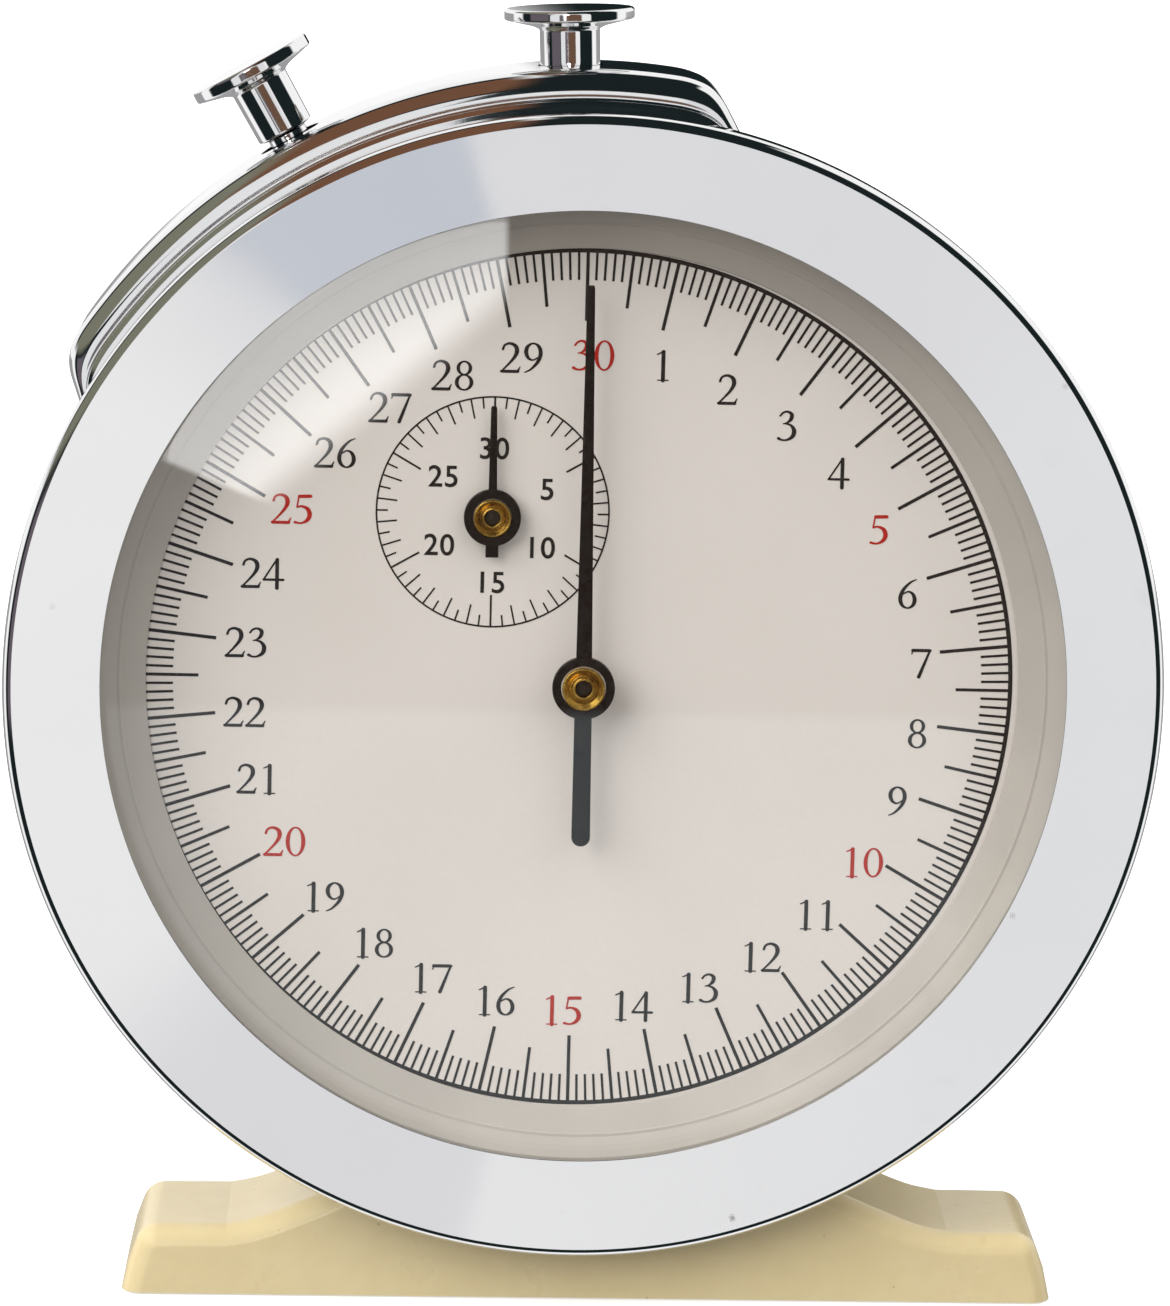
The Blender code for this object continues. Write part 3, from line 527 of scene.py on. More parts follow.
def hand_look():
    look = Look("black hand enamel", (0.006, 0.006, 0.006), Specular_IOR_Level=0.12)
    grain = look.noise(1500, 3, 0.6)
    look.colour(look.mix(look.ranged(grain, 0.35, 0.7, 0, 1), (0.003, 0.003, 0.003), (0.011, 0.0105, 0.01)))
    look.roughness(look.varied(0.22, 0.42, 800, 3))
    look.bump(grain, 5e-6, 0.4)
    return look.material


def pivot_look():
    # Painted shade: the pivot is coloured near black to stand for the dark hole at the hub's centre, not
    # the steel's own colour.
    look = Look("pivot steel painted dark as hole shade", (0.02, 0.016, 0.012), Specular_IOR_Level=0.2)
    grain = look.noise(2400, 3, 0.6)
    look.colour(look.mix(look.ranged(grain, 0.3, 0.7, 0, 1), (0.008, 0.006, 0.005), (0.03, 0.024, 0.016)))
    look.roughness(look.varied(0.3, 0.5, 1600, 2))
    return look.material


def glass_look():
    look = Look("mineral crystal", (1, 1, 1), Transmission_Weight=1.0, IOR=1.49, Roughness=0.0)
    look.roughness(look.ranged(look.noise(70, 3), 0.55, 0.8, 0.0, 0.02))
    look.bump(look.noise(14, 1, 0.4), 2e-5, 0.15)
    return look.material


def rubber_look():
    look = Look("crystal gasket", (0.1, 0.1, 0.1), Specular_IOR_Level=0.4)
    look.colour(look.mix(look.varied(0, 1, 500, 3), (0.045, 0.045, 0.045), (0.09, 0.088, 0.085)))
    look.roughness(look.varied(0.5, 0.7, 600, 2))
    return look.material


def ring_plastic_look():
    look = Look("movement ring resin", srgb(0.75, 0.73, 0.68), Specular_IOR_Level=0.4)
    look.colour(look.mix(look.varied(0, 1, 90, 3), srgb(0.74, 0.72, 0.67), srgb(0.66, 0.64, 0.6)))
    look.roughness(look.varied(0.4, 0.6, 400, 2))
    return look.material


CHROME, DRUM_STEEL, STEEL, BRASS = chrome_look(), plated_steel_look(), steel_look(), brass_look()
PLATE_BRASS, BLUED, STAND, DIAL = plate_brass_look(), blued_look(), stand_look(), dial_look()
RING, HAND, GLASS, RUBBER = ring_look(), hand_look(), glass_look(), rubber_look()
RESIN, PIVOT_SHADE = ring_plastic_look(), pivot_look()
INK = ink_look("black dial ink", srgb(0.07, 0.07, 0.07), srgb(0.2, 0.195, 0.19))
RED_INK = ink_look("red dial ink", srgb(0.66, 0.09, 0.07), srgb(0.74, 0.22, 0.17))
LOOK_OF_SLOT = {
    "chrome": CHROME, "case_steel": DRUM_STEEL, "steel": STEEL, "brass": BRASS,
    "plate_brass": PLATE_BRASS, "stand_plastic": STAND, "dial_paint": DIAL, "ring_paint": RING,
    "hand_black": HAND, "crystal_glass": GLASS, "gasket_rubber": RUBBER, "ring_plastic": RESIN,
    "blued_steel": BLUED,
}
SLOT_OF_LOOK = {look.name: slot for slot, look in LOOK_OF_SLOT.items()}
SLOT_OF_LOOK[INK.name] = "hand_black"
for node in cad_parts.values():
    for place in node.material_slots:
        place.material = LOOK_OF_SLOT[place.material.name.split(".")[0]]


# ---- the case
def round_edge(radius, widest, h, angles):
    """An edge rounded about a centre at height h: each angle is measured from the front."""
    return [(widest - radius * (1 - sin(radians(t))), h + radius * cos(radians(t)), 0) for t in angles]


def make_bezel():
    flank = round_edge(1.52, BEZEL_R, FRONT_H - 1.41, range(22, 91, 4))
    outline = flank + [(BEZEL_R, 12.3, 0.2), (54.4, 12.3, 0.1), (54.4, 15.3, 0.1), (48.6, 13.95, 0.1),
                       (47.9, 13.8, 0.1), (47.2, 14.81, 0.06)]
    lathe("bezel_ring", eased(outline, steps=6), CHROME, "case", 288, replaces=["bezel"])


def dome(r):
    """Height of the crystal's outer face."""
    return 15.4 - 0.00093 * r * r


def make_crystal():
    thickness, outer_r, inner_r = 1.2, 48.2, 47.6
    outer = [(r, dome(r)) for r in [outer_r * (i / 40) for i in range(41)]]
    inner = [(r, dome(r) - thickness) for r in [inner_r * (1 - i / 40) for i in range(41)]]
    outline = outer + [(52.2, 13.2), (52.3, 13.1), (52.3, 12.2), (52.2, 12.1)] + inner
    glass = lathe("crystal_lens", outline, GLASS, "case", 192, closed=False, replaces=["crystal"])
    glass.visible_shadow = False
    glass.visible_diffuse = False


def make_dial_ring():
    outline = [(52.4, 11.8, 0.1), (52.4, 11.1, 0.1), (48.3, 11.1, 0.1), (43.7, 9.05, 0.05),
               (43.0, 9.05, 0.1), (43.1, 9.2, 0.1), (45.45, 10.42, 0.06), (45.52, 10.6, 0.05),
               (45.8, 10.64, 0.05), (47.6, 11.8, 0.2)]
    lathe("dial_ring_cone", eased(outline, steps=4), RING, "case", 256, replaces=["dial_ring"])


def make_drum():
    outline = [(53.0, -14.6, 0.1), (53.8, -14.6, 0.2), (53.8, 14.2, 0.2), (53.0, 14.2, 0.1)]
    mesh = lathe_mesh("case_drum_shell", eased(outline, steps=3), 256)
    mesh = cut(mesh, button_cutters(2.05, 46, 60, 48))
    add_piece("case_drum_shell", mesh, DRUM_STEEL, "case", replaces=["case_drum"])


SCREW_PLACES = [polar(48.6, 90 - a) for a in (94, 214, 334)]


def make_back():
    outline = [(0, -15.9), (50.2, -15.9, 0.3), (50.2, -14.9, 0.2), (51.4, -14.9, 0.2), (54.2, -14.9, 0.15),
               (54.2, -16.35, 0.5), (53.55, BACK_H, 0.5), (51.2, BACK_H, 0.12), (51.0, -16.82, 0.1),
               (50.6, -16.82, 0.1), (50.4, BACK_H, 0.12), (0, BACK_H)]
    mesh = lathe_mesh("back_cover_lid", eased(outline, steps=4, closed=False), 256, closed=False)
    tools = []
    for at in SCREW_PLACES:
        here = Matrix.Translation((at.x, at.y, 0))
        tools += [cylinder_mesh(2.15, -20, -16.5, 48, here), cylinder_mesh(0.9, -20, -15.0, 32, here)]
    add_piece("back_cover_lid", cut(mesh, tools), CHROME, "case", replaces=["back_cover"])


make_bezel()
make_crystal()
make_dial_ring()
make_drum()


# ---- the buttons' shoulder
FOOT_R, TOP_R, LEFT_END, RIGHT_END = 54.15, 60.4, -63.6, 16.6
RISE = [(0.0, 0.06), (1.4, 0.26), (2.9, 0.52), (4.4, 0.78), (5.6, 0.91), (7.2, 0.98), (9.0, 1.0)]


def rise_at(degrees):
    """How far the shoulder has risen this many degrees in from its end, eased between the stations."""
    if degrees >= RISE[-1][0]:
        return 1.0
    xs, ys = [p[0] for p in RISE], [p[1] for p in RISE]
    slopes = [(ys[i + 1] - ys[i]) / (xs[i + 1] - xs[i]) for i in range(len(xs) - 1)]
    tangents = [slopes[0]] + [(a + b) / 2 for a, b in zip(slopes, slopes[1:])] + [0.0]
    i = max(k for k in range(len(xs) - 1) if xs[k] <= degrees)
    w = xs[i + 1] - xs[i]
    t = (degrees - xs[i]) / w
    return ((2 * t**3 - 3 * t**2 + 1) * ys[i] + (t**3 - 2 * t**2 + t) * w * tangents[i]
            + (-2 * t**3 + 3 * t**2) * ys[i + 1] + (t**3 - t**2) * w * tangents[i + 1])


def make_housing():
    front = [(FOOT_R, 12.15), (55.2, 12.05, 0.2), (57.1, 11.62, 0.2), (57.55, 11.3, 0.2),
             (57.62, 10.5, 0.15)]
    crest = round_edge(2.45, TOP_R, 8.0, range(0, 91, 9))
    back = [(TOP_R, -3.8, 1.2), (59.5, -5.9, 1.0), (57.8, -6.75, 0.8), (FOOT_R, -6.8)]
    outer = eased(front + crest + back, steps=5, closed=False)
    wall, end_wall, end_drop, end_span = 0.7, 0.85, 0.04, RISE[-1][0]

    def inward(profile):
        made = []
        for i, p in enumerate(profile):
            a, b = profile[max(i - 1, 0)], profile[min(i + 1, len(profile) - 1)]
            d = (b - a).normalized()
            made.append(Vector((max(p.x + d.y * wall, FOOT_R), p.y - d.x * wall)))
        made[0], made[-1] = Vector((FOOT_R, 11.4)), Vector((FOOT_R, -6.1))
        return made

    inner = inward(outer)
    steps = [i * 0.3 for i in range(31)]
    span, middle = RIGHT_END - LEFT_END, (LEFT_END + RIGHT_END) / 2
    between = [end_span + (span - 2 * end_span) * i / 90 for i in range(1, 90)]
    turns = steps + between + [span - s for s in reversed(steps)]
    verts, faces = [], []
    for layer, profile in enumerate((outer, inner)):
        for turn in turns:
            from_end = min(turn, span - turn)
            rise = rise_at(from_end)
            angle = LEFT_END + turn
            if layer:
                angle = middle + (angle - middle) * (span / 2 - end_wall) / (span / 2)
                rise = max(rise - end_drop, 0.0) if from_end < end_span else rise
            for r, h in profile:
                at = polar(FOOT_R + (r - FOOT_R) * rise, angle)
                verts.append((at.x, at.y, h))
    rows, count = len(turns), len(outer)
    second = rows * count
    for i in range(rows - 1):
        for j in range(count - 1):
            a, b, c, d = i * count + j, i * count + j + 1, (i + 1) * count + j + 1, (i + 1) * count + j
            faces.append((a, b, c, d))
            faces.append((second + d, second + c, second + b, second + a))
        for j in (0, count - 1):
            a, b = i * count + j, (i + 1) * count + j
            faces.append((a, b, second + b, second + a))
    for i in (0, rows - 1):
        for j in range(count - 1):
            a, b = i * count + j, i * count + j + 1
            faces.append((b, a, second + a, second + b))
    mesh = cut(mesh_of("button_shoulder", verts, faces), button_cutters(3.2, 56, 63, 64))
    add_piece("button_shoulder", mesh, CHROME, "case", replaces=["button_housing"])


make_housing()


# ---- buttons and their return springs
def tube_faces(row, sides):
    """The faces between this ring of points and the next, each ring holding this many."""
    low, high = row * sides, (row + 1) * sides
    return [(low + k, low + (k + 1) % sides, high + (k + 1) % sides, high + k) for k in range(sides)]


def spring_mesh(name, radius, wire, low, high, turns):
    """A round-wire spring about local z, with most of a flat coil at each end."""
    flat, per_turn, sides = 0.6, 32, 10
    count = round(turns * per_turn)
    verts = []
    for i in range(count + 1):
        rise = min(max((i / per_turn - flat) / (turns - 2 * flat), 0.0), 1.0)
        out = Vector((cos(tau * i / per_turn), sin(tau * i / per_turn), 0))
        middle = out * radius + Vector((0, 0, low + wire + (high - low - 2 * wire) * rise))
        for k in range(sides):
            a = tau * k / sides
            verts.append(middle + out * wire * cos(a) + Vector((0, 0, wire * sin(a))))
    faces = [tuple(range(sides)), tuple(range(count * sides, (count + 1) * sides))]
    for i in range(count):
        faces += tube_faces(i, sides)
    return mesh_of(name, verts, faces)


SPRING_WIRE = 0.16


def return_spring(name, node, tilt, radius, low, high, turns):
    """A return spring about the button's axis, with a mesh of its own."""
    placed = on_radius(tilt)
    mesh = spring_mesh(name, radius, SPRING_WIRE, low, high, turns)
    spring = add_piece(name, mesh, STEEL, "case", replaces=[node], matrix=placed)
    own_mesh(spring)


def make_buttons():
    crown = [(0, 66.02), (6.4, 65.9, 0.32), (6.4, 64.82, 0.25), (3.7, 64.17, 0.3), (2.98, 63.85, 0.25),
             (2.95, 60.2, 0.3), (2.95, 58.4, 0.1), (2.0, 58.4, 0.1), (2.0, 64.5, 0.1), (0, 64.5)]
    lathe("crown_button", eased(crown, steps=5, closed=False), CHROME, "crown", 96, closed=False,
          replaces=["crown"], matrix=on_radius(CROWN_TILT))
    reset = [(0, 68.84), (6.25, 68.74, 0.32), (6.25, 67.56, 0.25), (3.6, 66.9, 0.3), (2.92, 66.55, 0.25),
             (2.85, 61.2, 0.3), (2.0, 61.0, 0.1), (2.0, 58.0, 0.1), (1.0, 58.0, 0.1), (1.0, 44.0, 0.1),
             (0, 44.0)]
    lathe("reset_plunger", eased(reset, steps=5, closed=False), CHROME, "reset_button", 96, closed=False,
          replaces=["reset_button"], matrix=on_radius(RESET_TILT))
    return_spring("crown_return_spring", "crown_spring", CROWN_TILT,
                  radius=2.35, low=55.1, high=58.1, turns=4.2)
    return_spring("reset_return_spring", "reset_spring", RESET_TILT,
                  radius=1.5, low=55.6, high=57.8, turns=3.8)


make_buttons()


# ---- dial printing
INK_LOW, INK_HIGH = DIAL_H + 0.002, DIAL_H + 0.03
TRACK_R, TRACK_LINE = 42.75, 0.42
NUMERAL_R, NUMERAL_HEIGHT = 32.9, 3.0
SUB_AT, SUB_R = Vector((-8.74, 16.8)), 11.4
SUB_FIGURES = {"30": (0.3, 6.3), "5": (5.6, 2.35), "10": (5.0, -3.45), "15": (0.2, -7.0),
               "20": (-4.9, -3.35), "25": (-4.6, 3.45)}
FIGURE_SIZE, FIGURE_BOLD, FIGURE_SHIFT = 3.0, 0.03, (-0.3, -0.1)
PRINT = in_clock(*PRINT_SHIFT, PRINT_TURN)
BOLD, ADVANCE, SQUEEZE = 1.12, 0.6, 1.2


def ring_patches(radius, line, count, x=0.0, y=0.0):
    out, inn = radius + line / 2, radius - line / 2
    made = []
    for i in range(count):
        a, b = tau * i / count, tau * (i + 1) / count
        made.append([(x + r * cos(t), y + r * sin(t)) for r, t in ((inn, a), (out, a), (out, b), (inn, b))])
    return made


def tick_patch(clockwise, outer, length, line, x=0.0, y=0.0):
    direction = polar(1, clockwise)
    side = Vector((direction.y, -direction.x)) * line / 2
    a, b = direction * outer, direction * (outer - length)
    centre = Vector((x, y))
    return [tuple(centre + p) for p in (a - side, a + side, b + side, b - side)]


def stroke(points):
    """Quads along a pen stroke. Each point is (x, y, pen width), and three or more make a curve."""
    path = [Vector((p[0], p[1], p[2] * BOLD)) for p in points]
    if len(path) > 2:
        path = spline_through(path, 6)
    sides = []
    for i, p in enumerate(path):
        d = (path[min(i + 1, len(path) - 1)] - path[max(i - 1, 0)]).to_2d().normalized()
        n = Vector((-d.y, d.x)) * p.z / 2
        sides.append((p.to_2d() + n, p.to_2d() - n))
    made = [[a[0], a[1], b[1], b[0]] for a, b in zip(sides, sides[1:])]
    around = [tau * k / 10 for k in range(10)]
    for p in (path[0], path[-1]):
        made.append([p.to_2d() + Vector((cos(t), sin(t))) * p.z / 2 for t in around])
    return made


def oval(cx, cy, rx, ry, side, top, count=28):
    """A pen-drawn oval: thick at the sides, thin at top and bottom."""
    made = []
    for i in range(count):
        quad = []
        for t, sign in ((i, 1), (i, -1), (i + 1, -1), (i + 1, 1)):
            a = tau * t / count
            w = (top + (side - top) * cos(a) ** 2) / 2 * sign * BOLD
            quad.append(Vector((cx + (rx + w) * cos(a), cy + (ry + w) * sin(a))))
        made.append(quad)
    return made


SIX = stroke([(0.53, 0.975, 0.03), (0.37, 0.88, 0.055), (0.18, 0.63, 0.085), (0.105, 0.35, 0.1),
              (0.16, 0.12, 0.085), (0.31, 0.025, 0.05), (0.455, 0.12, 0.085), (0.5, 0.31, 0.1),
              (0.44, 0.5, 0.08), (0.31, 0.57, 0.05), (0.16, 0.47, 0.035)])
DIGITS = {
    "0": oval(0.31, 0.5, 0.215, 0.475, 0.1, 0.05),
    "1": stroke([(0.33, 0.0, 0.095), (0.33, 0.96, 0.095)])
    + stroke([(0.345, 0.96, 0.05), (0.17, 0.865, 0.035)])
    + stroke([(0.19, 0.018, 0.036), (0.47, 0.018, 0.036)]),
    "2": stroke([(0.09, 0.76, 0.06), (0.14, 0.9, 0.06), (0.28, 0.96, 0.075), (0.43, 0.88, 0.1),
                 (0.47, 0.7, 0.105), (0.4, 0.5, 0.08), (0.24, 0.27, 0.055), (0.07, 0.06, 0.045)])
    + stroke([(0.07, 0.045, 0.09), (0.5, 0.045, 0.09)]) + stroke([(0.5, 0.05, 0.06), (0.565, 0.2, 0.025)]),
    "3": stroke([(0.11, 0.82, 0.05), (0.18, 0.92, 0.055), (0.3, 0.965, 0.065), (0.42, 0.88, 0.095),
                 (0.4, 0.71, 0.09), (0.3, 0.6, 0.05), (0.2, 0.56, 0.035)])
    + stroke([(0.24, 0.575, 0.04), (0.4, 0.52, 0.07), (0.495, 0.36, 0.105), (0.46, 0.15, 0.1),
              (0.31, 0.035, 0.06), (0.17, 0.03, 0.06), (0.08, 0.08, 0.085)]),
    "4": stroke([(0.41, 0.0, 0.09), (0.41, 0.96, 0.09)]) + stroke([(0.4, 0.96, 0.045), (0.05, 0.3, 0.045)])
    + stroke([(0.05, 0.285, 0.07), (0.58, 0.285, 0.07)]),
    "5": stroke([(0.2, 0.915, 0.1), (0.49, 0.925, 0.1)]) + stroke([(0.18, 0.94, 0.04), (0.13, 0.56, 0.04)])
    + stroke([(0.13, 0.555, 0.045), (0.26, 0.59, 0.065), (0.42, 0.5, 0.1), (0.475, 0.3, 0.11),
              (0.4, 0.12, 0.09), (0.24, 0.03, 0.055), (0.08, 0.06, 0.075)]),
    "6": SIX,
    "7": stroke([(0.08, 0.92, 0.095), (0.54, 0.92, 0.095)])
    + stroke([(0.08, 0.93, 0.05), (0.05, 0.8, 0.03)]) + stroke([(0.545, 0.92, 0.05), (0.26, 0.03, 0.09)]),
    "8": oval(0.31, 0.745, 0.165, 0.215, 0.085, 0.05, 24) + oval(0.31, 0.275, 0.2, 0.245, 0.095, 0.05, 24),
    "9": [[Vector((0.62 - p[0], 1 - p[1])) for p in patch] for patch in SIX],
}


def numeral_patches(text, centre, height):
    made = []
    for i, digit in enumerate(text):
        for patch in DIGITS[digit]:
            quad = []
            for p in patch:
                x = (p[0] - 0.31 + ADVANCE * (i + 0.5) - ADVANCE * len(text) / 2) * height * SQUEEZE
                y = (p[1] - 0.5) * height
                quad.append((centre[0] + x, centre[1] + y))
            made.append(quad)
    return made


def numeral_centre(n):
    """Where the printer set this number: the figures creep a little round the dial."""
    a = radians(12 * n)
    east = max(0.0, sin(a))
    angle = 12.0 * n + 1.3 + 1.6 * sin(a) - 1.3 * east
    radius = NUMERAL_R - 0.4 * cos(a) + 1.1 * east**4
    lift = max(0.0, -sin(a)) * max(0.0, cos(a))
    return polar(radius, angle) + Vector((0, lift))


def add_print(name, patches, ink):
    mesh = print_mesh(name, patches, INK_LOW, INK_HIGH)
    add_piece(name, mesh, ink, "case", matrix=PRINT, smooth=False)


def make_printing():
    track = ring_patches(TRACK_R, TRACK_LINE, 240)
    for i in range(300):
        if i % 10 == 0:
            length, line = 6.7, 0.33
        elif i % 5 == 0:
            length, line = 5.2, 0.3
        else:
            length, line = 2.7, 0.24
        track.append(tick_patch(i * 1.2, TRACK_R - TRACK_LINE / 2 + 0.02, length, line))
    add_print("seconds_track", track, INK)
    black, red = [], []
    for n in range(1, 31):
        (red if n % 5 == 0 else black).extend(numeral_patches(str(n), numeral_centre(n), NUMERAL_HEIGHT))
    add_print("seconds_numerals_black", black, INK)
    add_print("seconds_numerals_red", red, RED_INK)
    sub = ring_patches(SUB_R, 0.17, 120, *SUB_AT)
    for i in range(60):
        length = 3.1 if i % 10 == 0 else 1.9 if i % 2 == 0 else 1.05
        sub.append(tick_patch(i * 6, SUB_R - 0.07, length, 0.16 if i % 10 else 0.19, *SUB_AT))
    add_print("minutes_track", sub, INK)
    bm = bmesh.new()
    for text, (x, y) in SUB_FIGURES.items():
        curve = bpy.data.curves.new("figure", "FONT")
        curve.body, curve.size, curve.align_x, curve.align_y = text, FIGURE_SIZE, "CENTER", "CENTER"
        curve.extrude, curve.offset = (INK_HIGH - INK_LOW) / 2, FIGURE_BOLD
        curve.space_character, curve.resolution_u = 1.05, 6
        holder = put_in_scene("figure", curve)
        mesh = evaluated_mesh(holder)
        bpy.data.objects.remove(holder)
        at = (SUB_AT.x + x + FIGURE_SHIFT[0], SUB_AT.y + y + FIGURE_SHIFT[1], (INK_LOW + INK_HIGH) / 2)
        mesh.transform(Matrix.Translation(at))
        bm.from_mesh(mesh)
    bmesh.ops.remove_doubles(bm, verts=bm.verts, dist=1e-4)
    figures = bpy.data.meshes.new("minutes_numerals")
    bm.to_mesh(figures)
    bm.free()
    add_piece("minutes_numerals", figures, INK, "case", matrix=PRINT, smooth=False)


make_printing()


# ---- hands
def pointer_outline(tip, tip_half, root_half, tail, tail_root_half, tail_half, corner, hub):
    """Needle, hub circle and counterweight tail with rounded corners as one outline, needle up."""

    def on_hub(half, down):
        y = sqrt(hub * hub - half * half)
        return (half, -y if down else y)

    right = [(tip_half * 0.75, tip), (tip_half, tip - 0.25)]
    x, y = on_hub(root_half, False)
    a0 = atan2(y, x)
    x1, y1 = on_hub(tail_root_half, True)
    a1 = atan2(y1, x1)
    right += [(hub * cos(a0 + (a1 - a0) * i / 36), hub * sin(a0 + (a1 - a0) * i / 36)) for i in range(37)]
    right += [(tail_half - corner + corner * cos(t), -tail + corner + corner * sin(t))
              for t in [-pi / 2 * i / 8 for i in range(9)]]
    return right + [(-x, y) for x, y in reversed(right) if abs(x) > 1e-6]


def make_hands():
    outline = pointer_outline(tip=39.7, tip_half=0.37, root_half=0.78, tail=15.9, tail_root_half=0.85,
                              tail_half=0.92, corner=0.92, hub=2.9)
    blade = plate_mesh("sweep_blade", [outline, circle(2.2, 48)], 11.42, 11.68, 0.05)
    add_piece("sweep_blade", blade, HAND, "sweep_train", replaces=["sweep_hand"])
    hub = eased([(2.22, 11.22), (3.08, 11.22), (3.08, 12.1, 0.18), (2.22, 12.1, 0.1)], 0.06, 4)
    lathe("sweep_hub", hub, HAND, "sweep_train", 96)
    bush = eased([(0.95, 10.25), (2.0, 10.25), (2.0, 11.9), (2.12, 12.2), (2.1, 12.5, 0.08),
                  (1.9, 12.5, 0.08), (1.25, 11.85, 0.25), (1.08, 12.2, 0.06), (0.84, 12.22, 0.06),
                  (0.8, 11.0)], 0.05, 3)
    lathe("sweep_bush", bush, BRASS, "sweep_train", 96, replaces=["sweep_hand_bush"])
    pivot = eased([(0, 11.35), (0.78, 11.35, 0.02), (0.78, 11.6, 0.1), (0, 11.68)], 0.05, 3, closed=False)
    lathe("sweep_pivot", pivot, PIVOT_SHADE, "sweep_train", 48, closed=False)
    here = in_clock(*MINUTE_AT)
    outline = pointer_outline(tip=11.0, tip_half=0.3, root_half=0.42, tail=3.95, tail_root_half=0.62,
                              tail_half=0.64, corner=0.12, hub=2.6)
    blade = plate_mesh("minute_blade", [outline, circle(1.9, 40)], 9.62, 9.88, 0.04)
    add_piece("minute_blade", blade, HAND, "minute_train", replaces=["minute_hand"], matrix=here)
    hub = eased([(1.92, 9.42), (2.8, 9.42), (2.8, 10.2, 0.15), (1.92, 10.2, 0.1)], 0.06, 4)
    lathe("minute_hub", hub, HAND, "minute_train", 80, matrix=here)
    bush = eased([(0.95, 9.12), (1.65, 9.12), (1.65, 9.9), (1.86, 10.1), (1.84, 10.42, 0.08),
                  (1.66, 10.42, 0.08), (1.12, 9.85, 0.2), (1.0, 10.12, 0.05), (0.8, 10.14, 0.05),
                  (0.76, 9.5)], 0.05, 3)
    lathe("minute_bush", bush, BRASS, "minute_train", 80, replaces=["minute_hand_bush"], matrix=here)
    pivot = eased([(0, 9.5), (0.74, 9.5, 0.02), (0.74, 9.72, 0.1), (0, 9.8)], 0.05, 3, closed=False)
    lathe("minute_pivot", pivot, PIVOT_SHADE, "minute_train", 48, closed=False, matrix=here)


make_hands()


# ---- back cover and its screws
def make_screws():
    outline = eased([(0, -16.95), (1.75, -16.95, 0.35), (1.95, -16.6, 0.1), (1.95, -16.52, 0.1),
                     (0.85, -16.52, 0.1), (0.85, -12.6, 0.2), (0, -12.6)], 0.1, 4, closed=False)
    for number, (at, turn) in enumerate(zip(SCREW_PLACES, (20, 75, 140)), 1):
        screw = lathe_mesh("screw", outline, 48, closed=False)
        slot = block_mesh((6, 0.55, 0.7), (0, 0, -17.05), Matrix.Rotation(radians(turn), 4, "Z"))
        add_piece(f"cover_screw_{number}", cut(screw, [slot]), STEEL, "case",
                  replaces=[f"back_cover_screw_{number}"], matrix=in_clock(at.x, at.y))


make_back()
make_screws()


# ---- stand
def fillet(before, at, after, radius, steps):
    """Points of the arc of this radius that rounds the corner."""
    at = Vector(at)
    u, v = (Vector(before) - at).normalized(), (Vector(after) - at).normalized()
    half = u.angle(v) / 2
    centre = at + (u + v).normalized() * radius / sin(half)
    start, end = at + u * radius / tan(half) - centre, at + v * radius / tan(half) - centre
    turn = start.angle_signed(end)
    return [centre + Matrix.Rotation(-turn * k / steps, 2) @ start for k in range(steps + 1)]


def make_stand():
    """The rounded moulding: its outline, drawn in at the front and back by a quarter round.

    It is then cut for the drum, the pockets and the screws."""
    low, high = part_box("base_stand")
    rounding, corner_r, hollow_r, screw_x, screw_r = 2.1, 2.4, 54.1, 9.0, 1.7
    front, back, middle = -low.y / MM - 0.4, -high.y / MM + 0.3, (low.x + high.x) / 2 / MM + 0.25
    reach = (high.x - low.x) / 2 / MM - 0.6
    slope = [(36.4, 6.8), (33.4, 7.45), (29.9, 8.8), (26.4, 10.3), (22.4, 12.2), (19.0, 14.0)]
    curve = spline_through([Vector(p) for p in slope], 8)
    corner = fillet((reach - 0.7, 3.2), (reach - 2.0, 6.75), slope[0], corner_r, 12)
    half = [(reach + 1.1, -5.0), (reach, 0.0), (reach - 0.7, 3.2)] + corner + curve + [(15.0, 16.0)]
    outline = [Vector(p) for p in half + [(-p[0], p[1]) for p in reversed(half)]]
    count = len(outline)
    normals = []
    for i, p in enumerate(outline):
        along = (outline[(i + 1) % count] - p).normalized() + (p - outline[i - 1]).normalized()
        normals.append(Vector((along.y, -along.x)).normalized())
    rows = [(t, back + rounding * (1 - sin(radians(t)))) for t in range(90, -1, -10)]
    rows += [(t, front - rounding * (1 - sin(radians(t)))) for t in range(0, 91, 10)]
    verts = []
    for t, depth in rows:
        drawn_in = rounding * (1 - cos(radians(t)))
        for p, n in zip(outline, normals):
            at = p - n * drawn_in
            verts.append((middle + at.x, at.y, depth))
    faces = [tuple(range(count)), tuple(range((len(rows) - 1) * count, len(rows) * count))]
    for j in range(len(rows) - 1):
        faces += tube_faces(j, count)
    turned = Matrix.Rotation(radians(90), 4, "X")
    mesh = mesh_of("stand", verts, faces)
    mesh.transform(turned)
    centre = Vector((0, 0, CENTRE_Z / MM))
    below = block_mesh((140, 60, 20), (0, 0, -10))
    tools = [below, cylinder_mesh(hollow_r, -30, 30, 240, Matrix.Translation(centre) @ turned)]
    for side in (-1, 1):
        for inner, outer in ((2.0, 20.0), (22.0, 42.0)):
            tools.append(block_mesh((outer - inner, 13.0, 9.6), (side * (inner + outer) / 2, -1.5, 0)))
        tools.append(cylinder_mesh(screw_r, 4.0, 12.0, 32, Matrix.Translation((side * screw_x, 0, 0))))
    mesh = cut(mesh, tools)
    mesh = even_shading(mesh, radians(40))
    add_piece("stand_moulding", mesh, STAND, "case", replaces=["base_stand"], matrix=Matrix(), smooth=False)


make_stand()


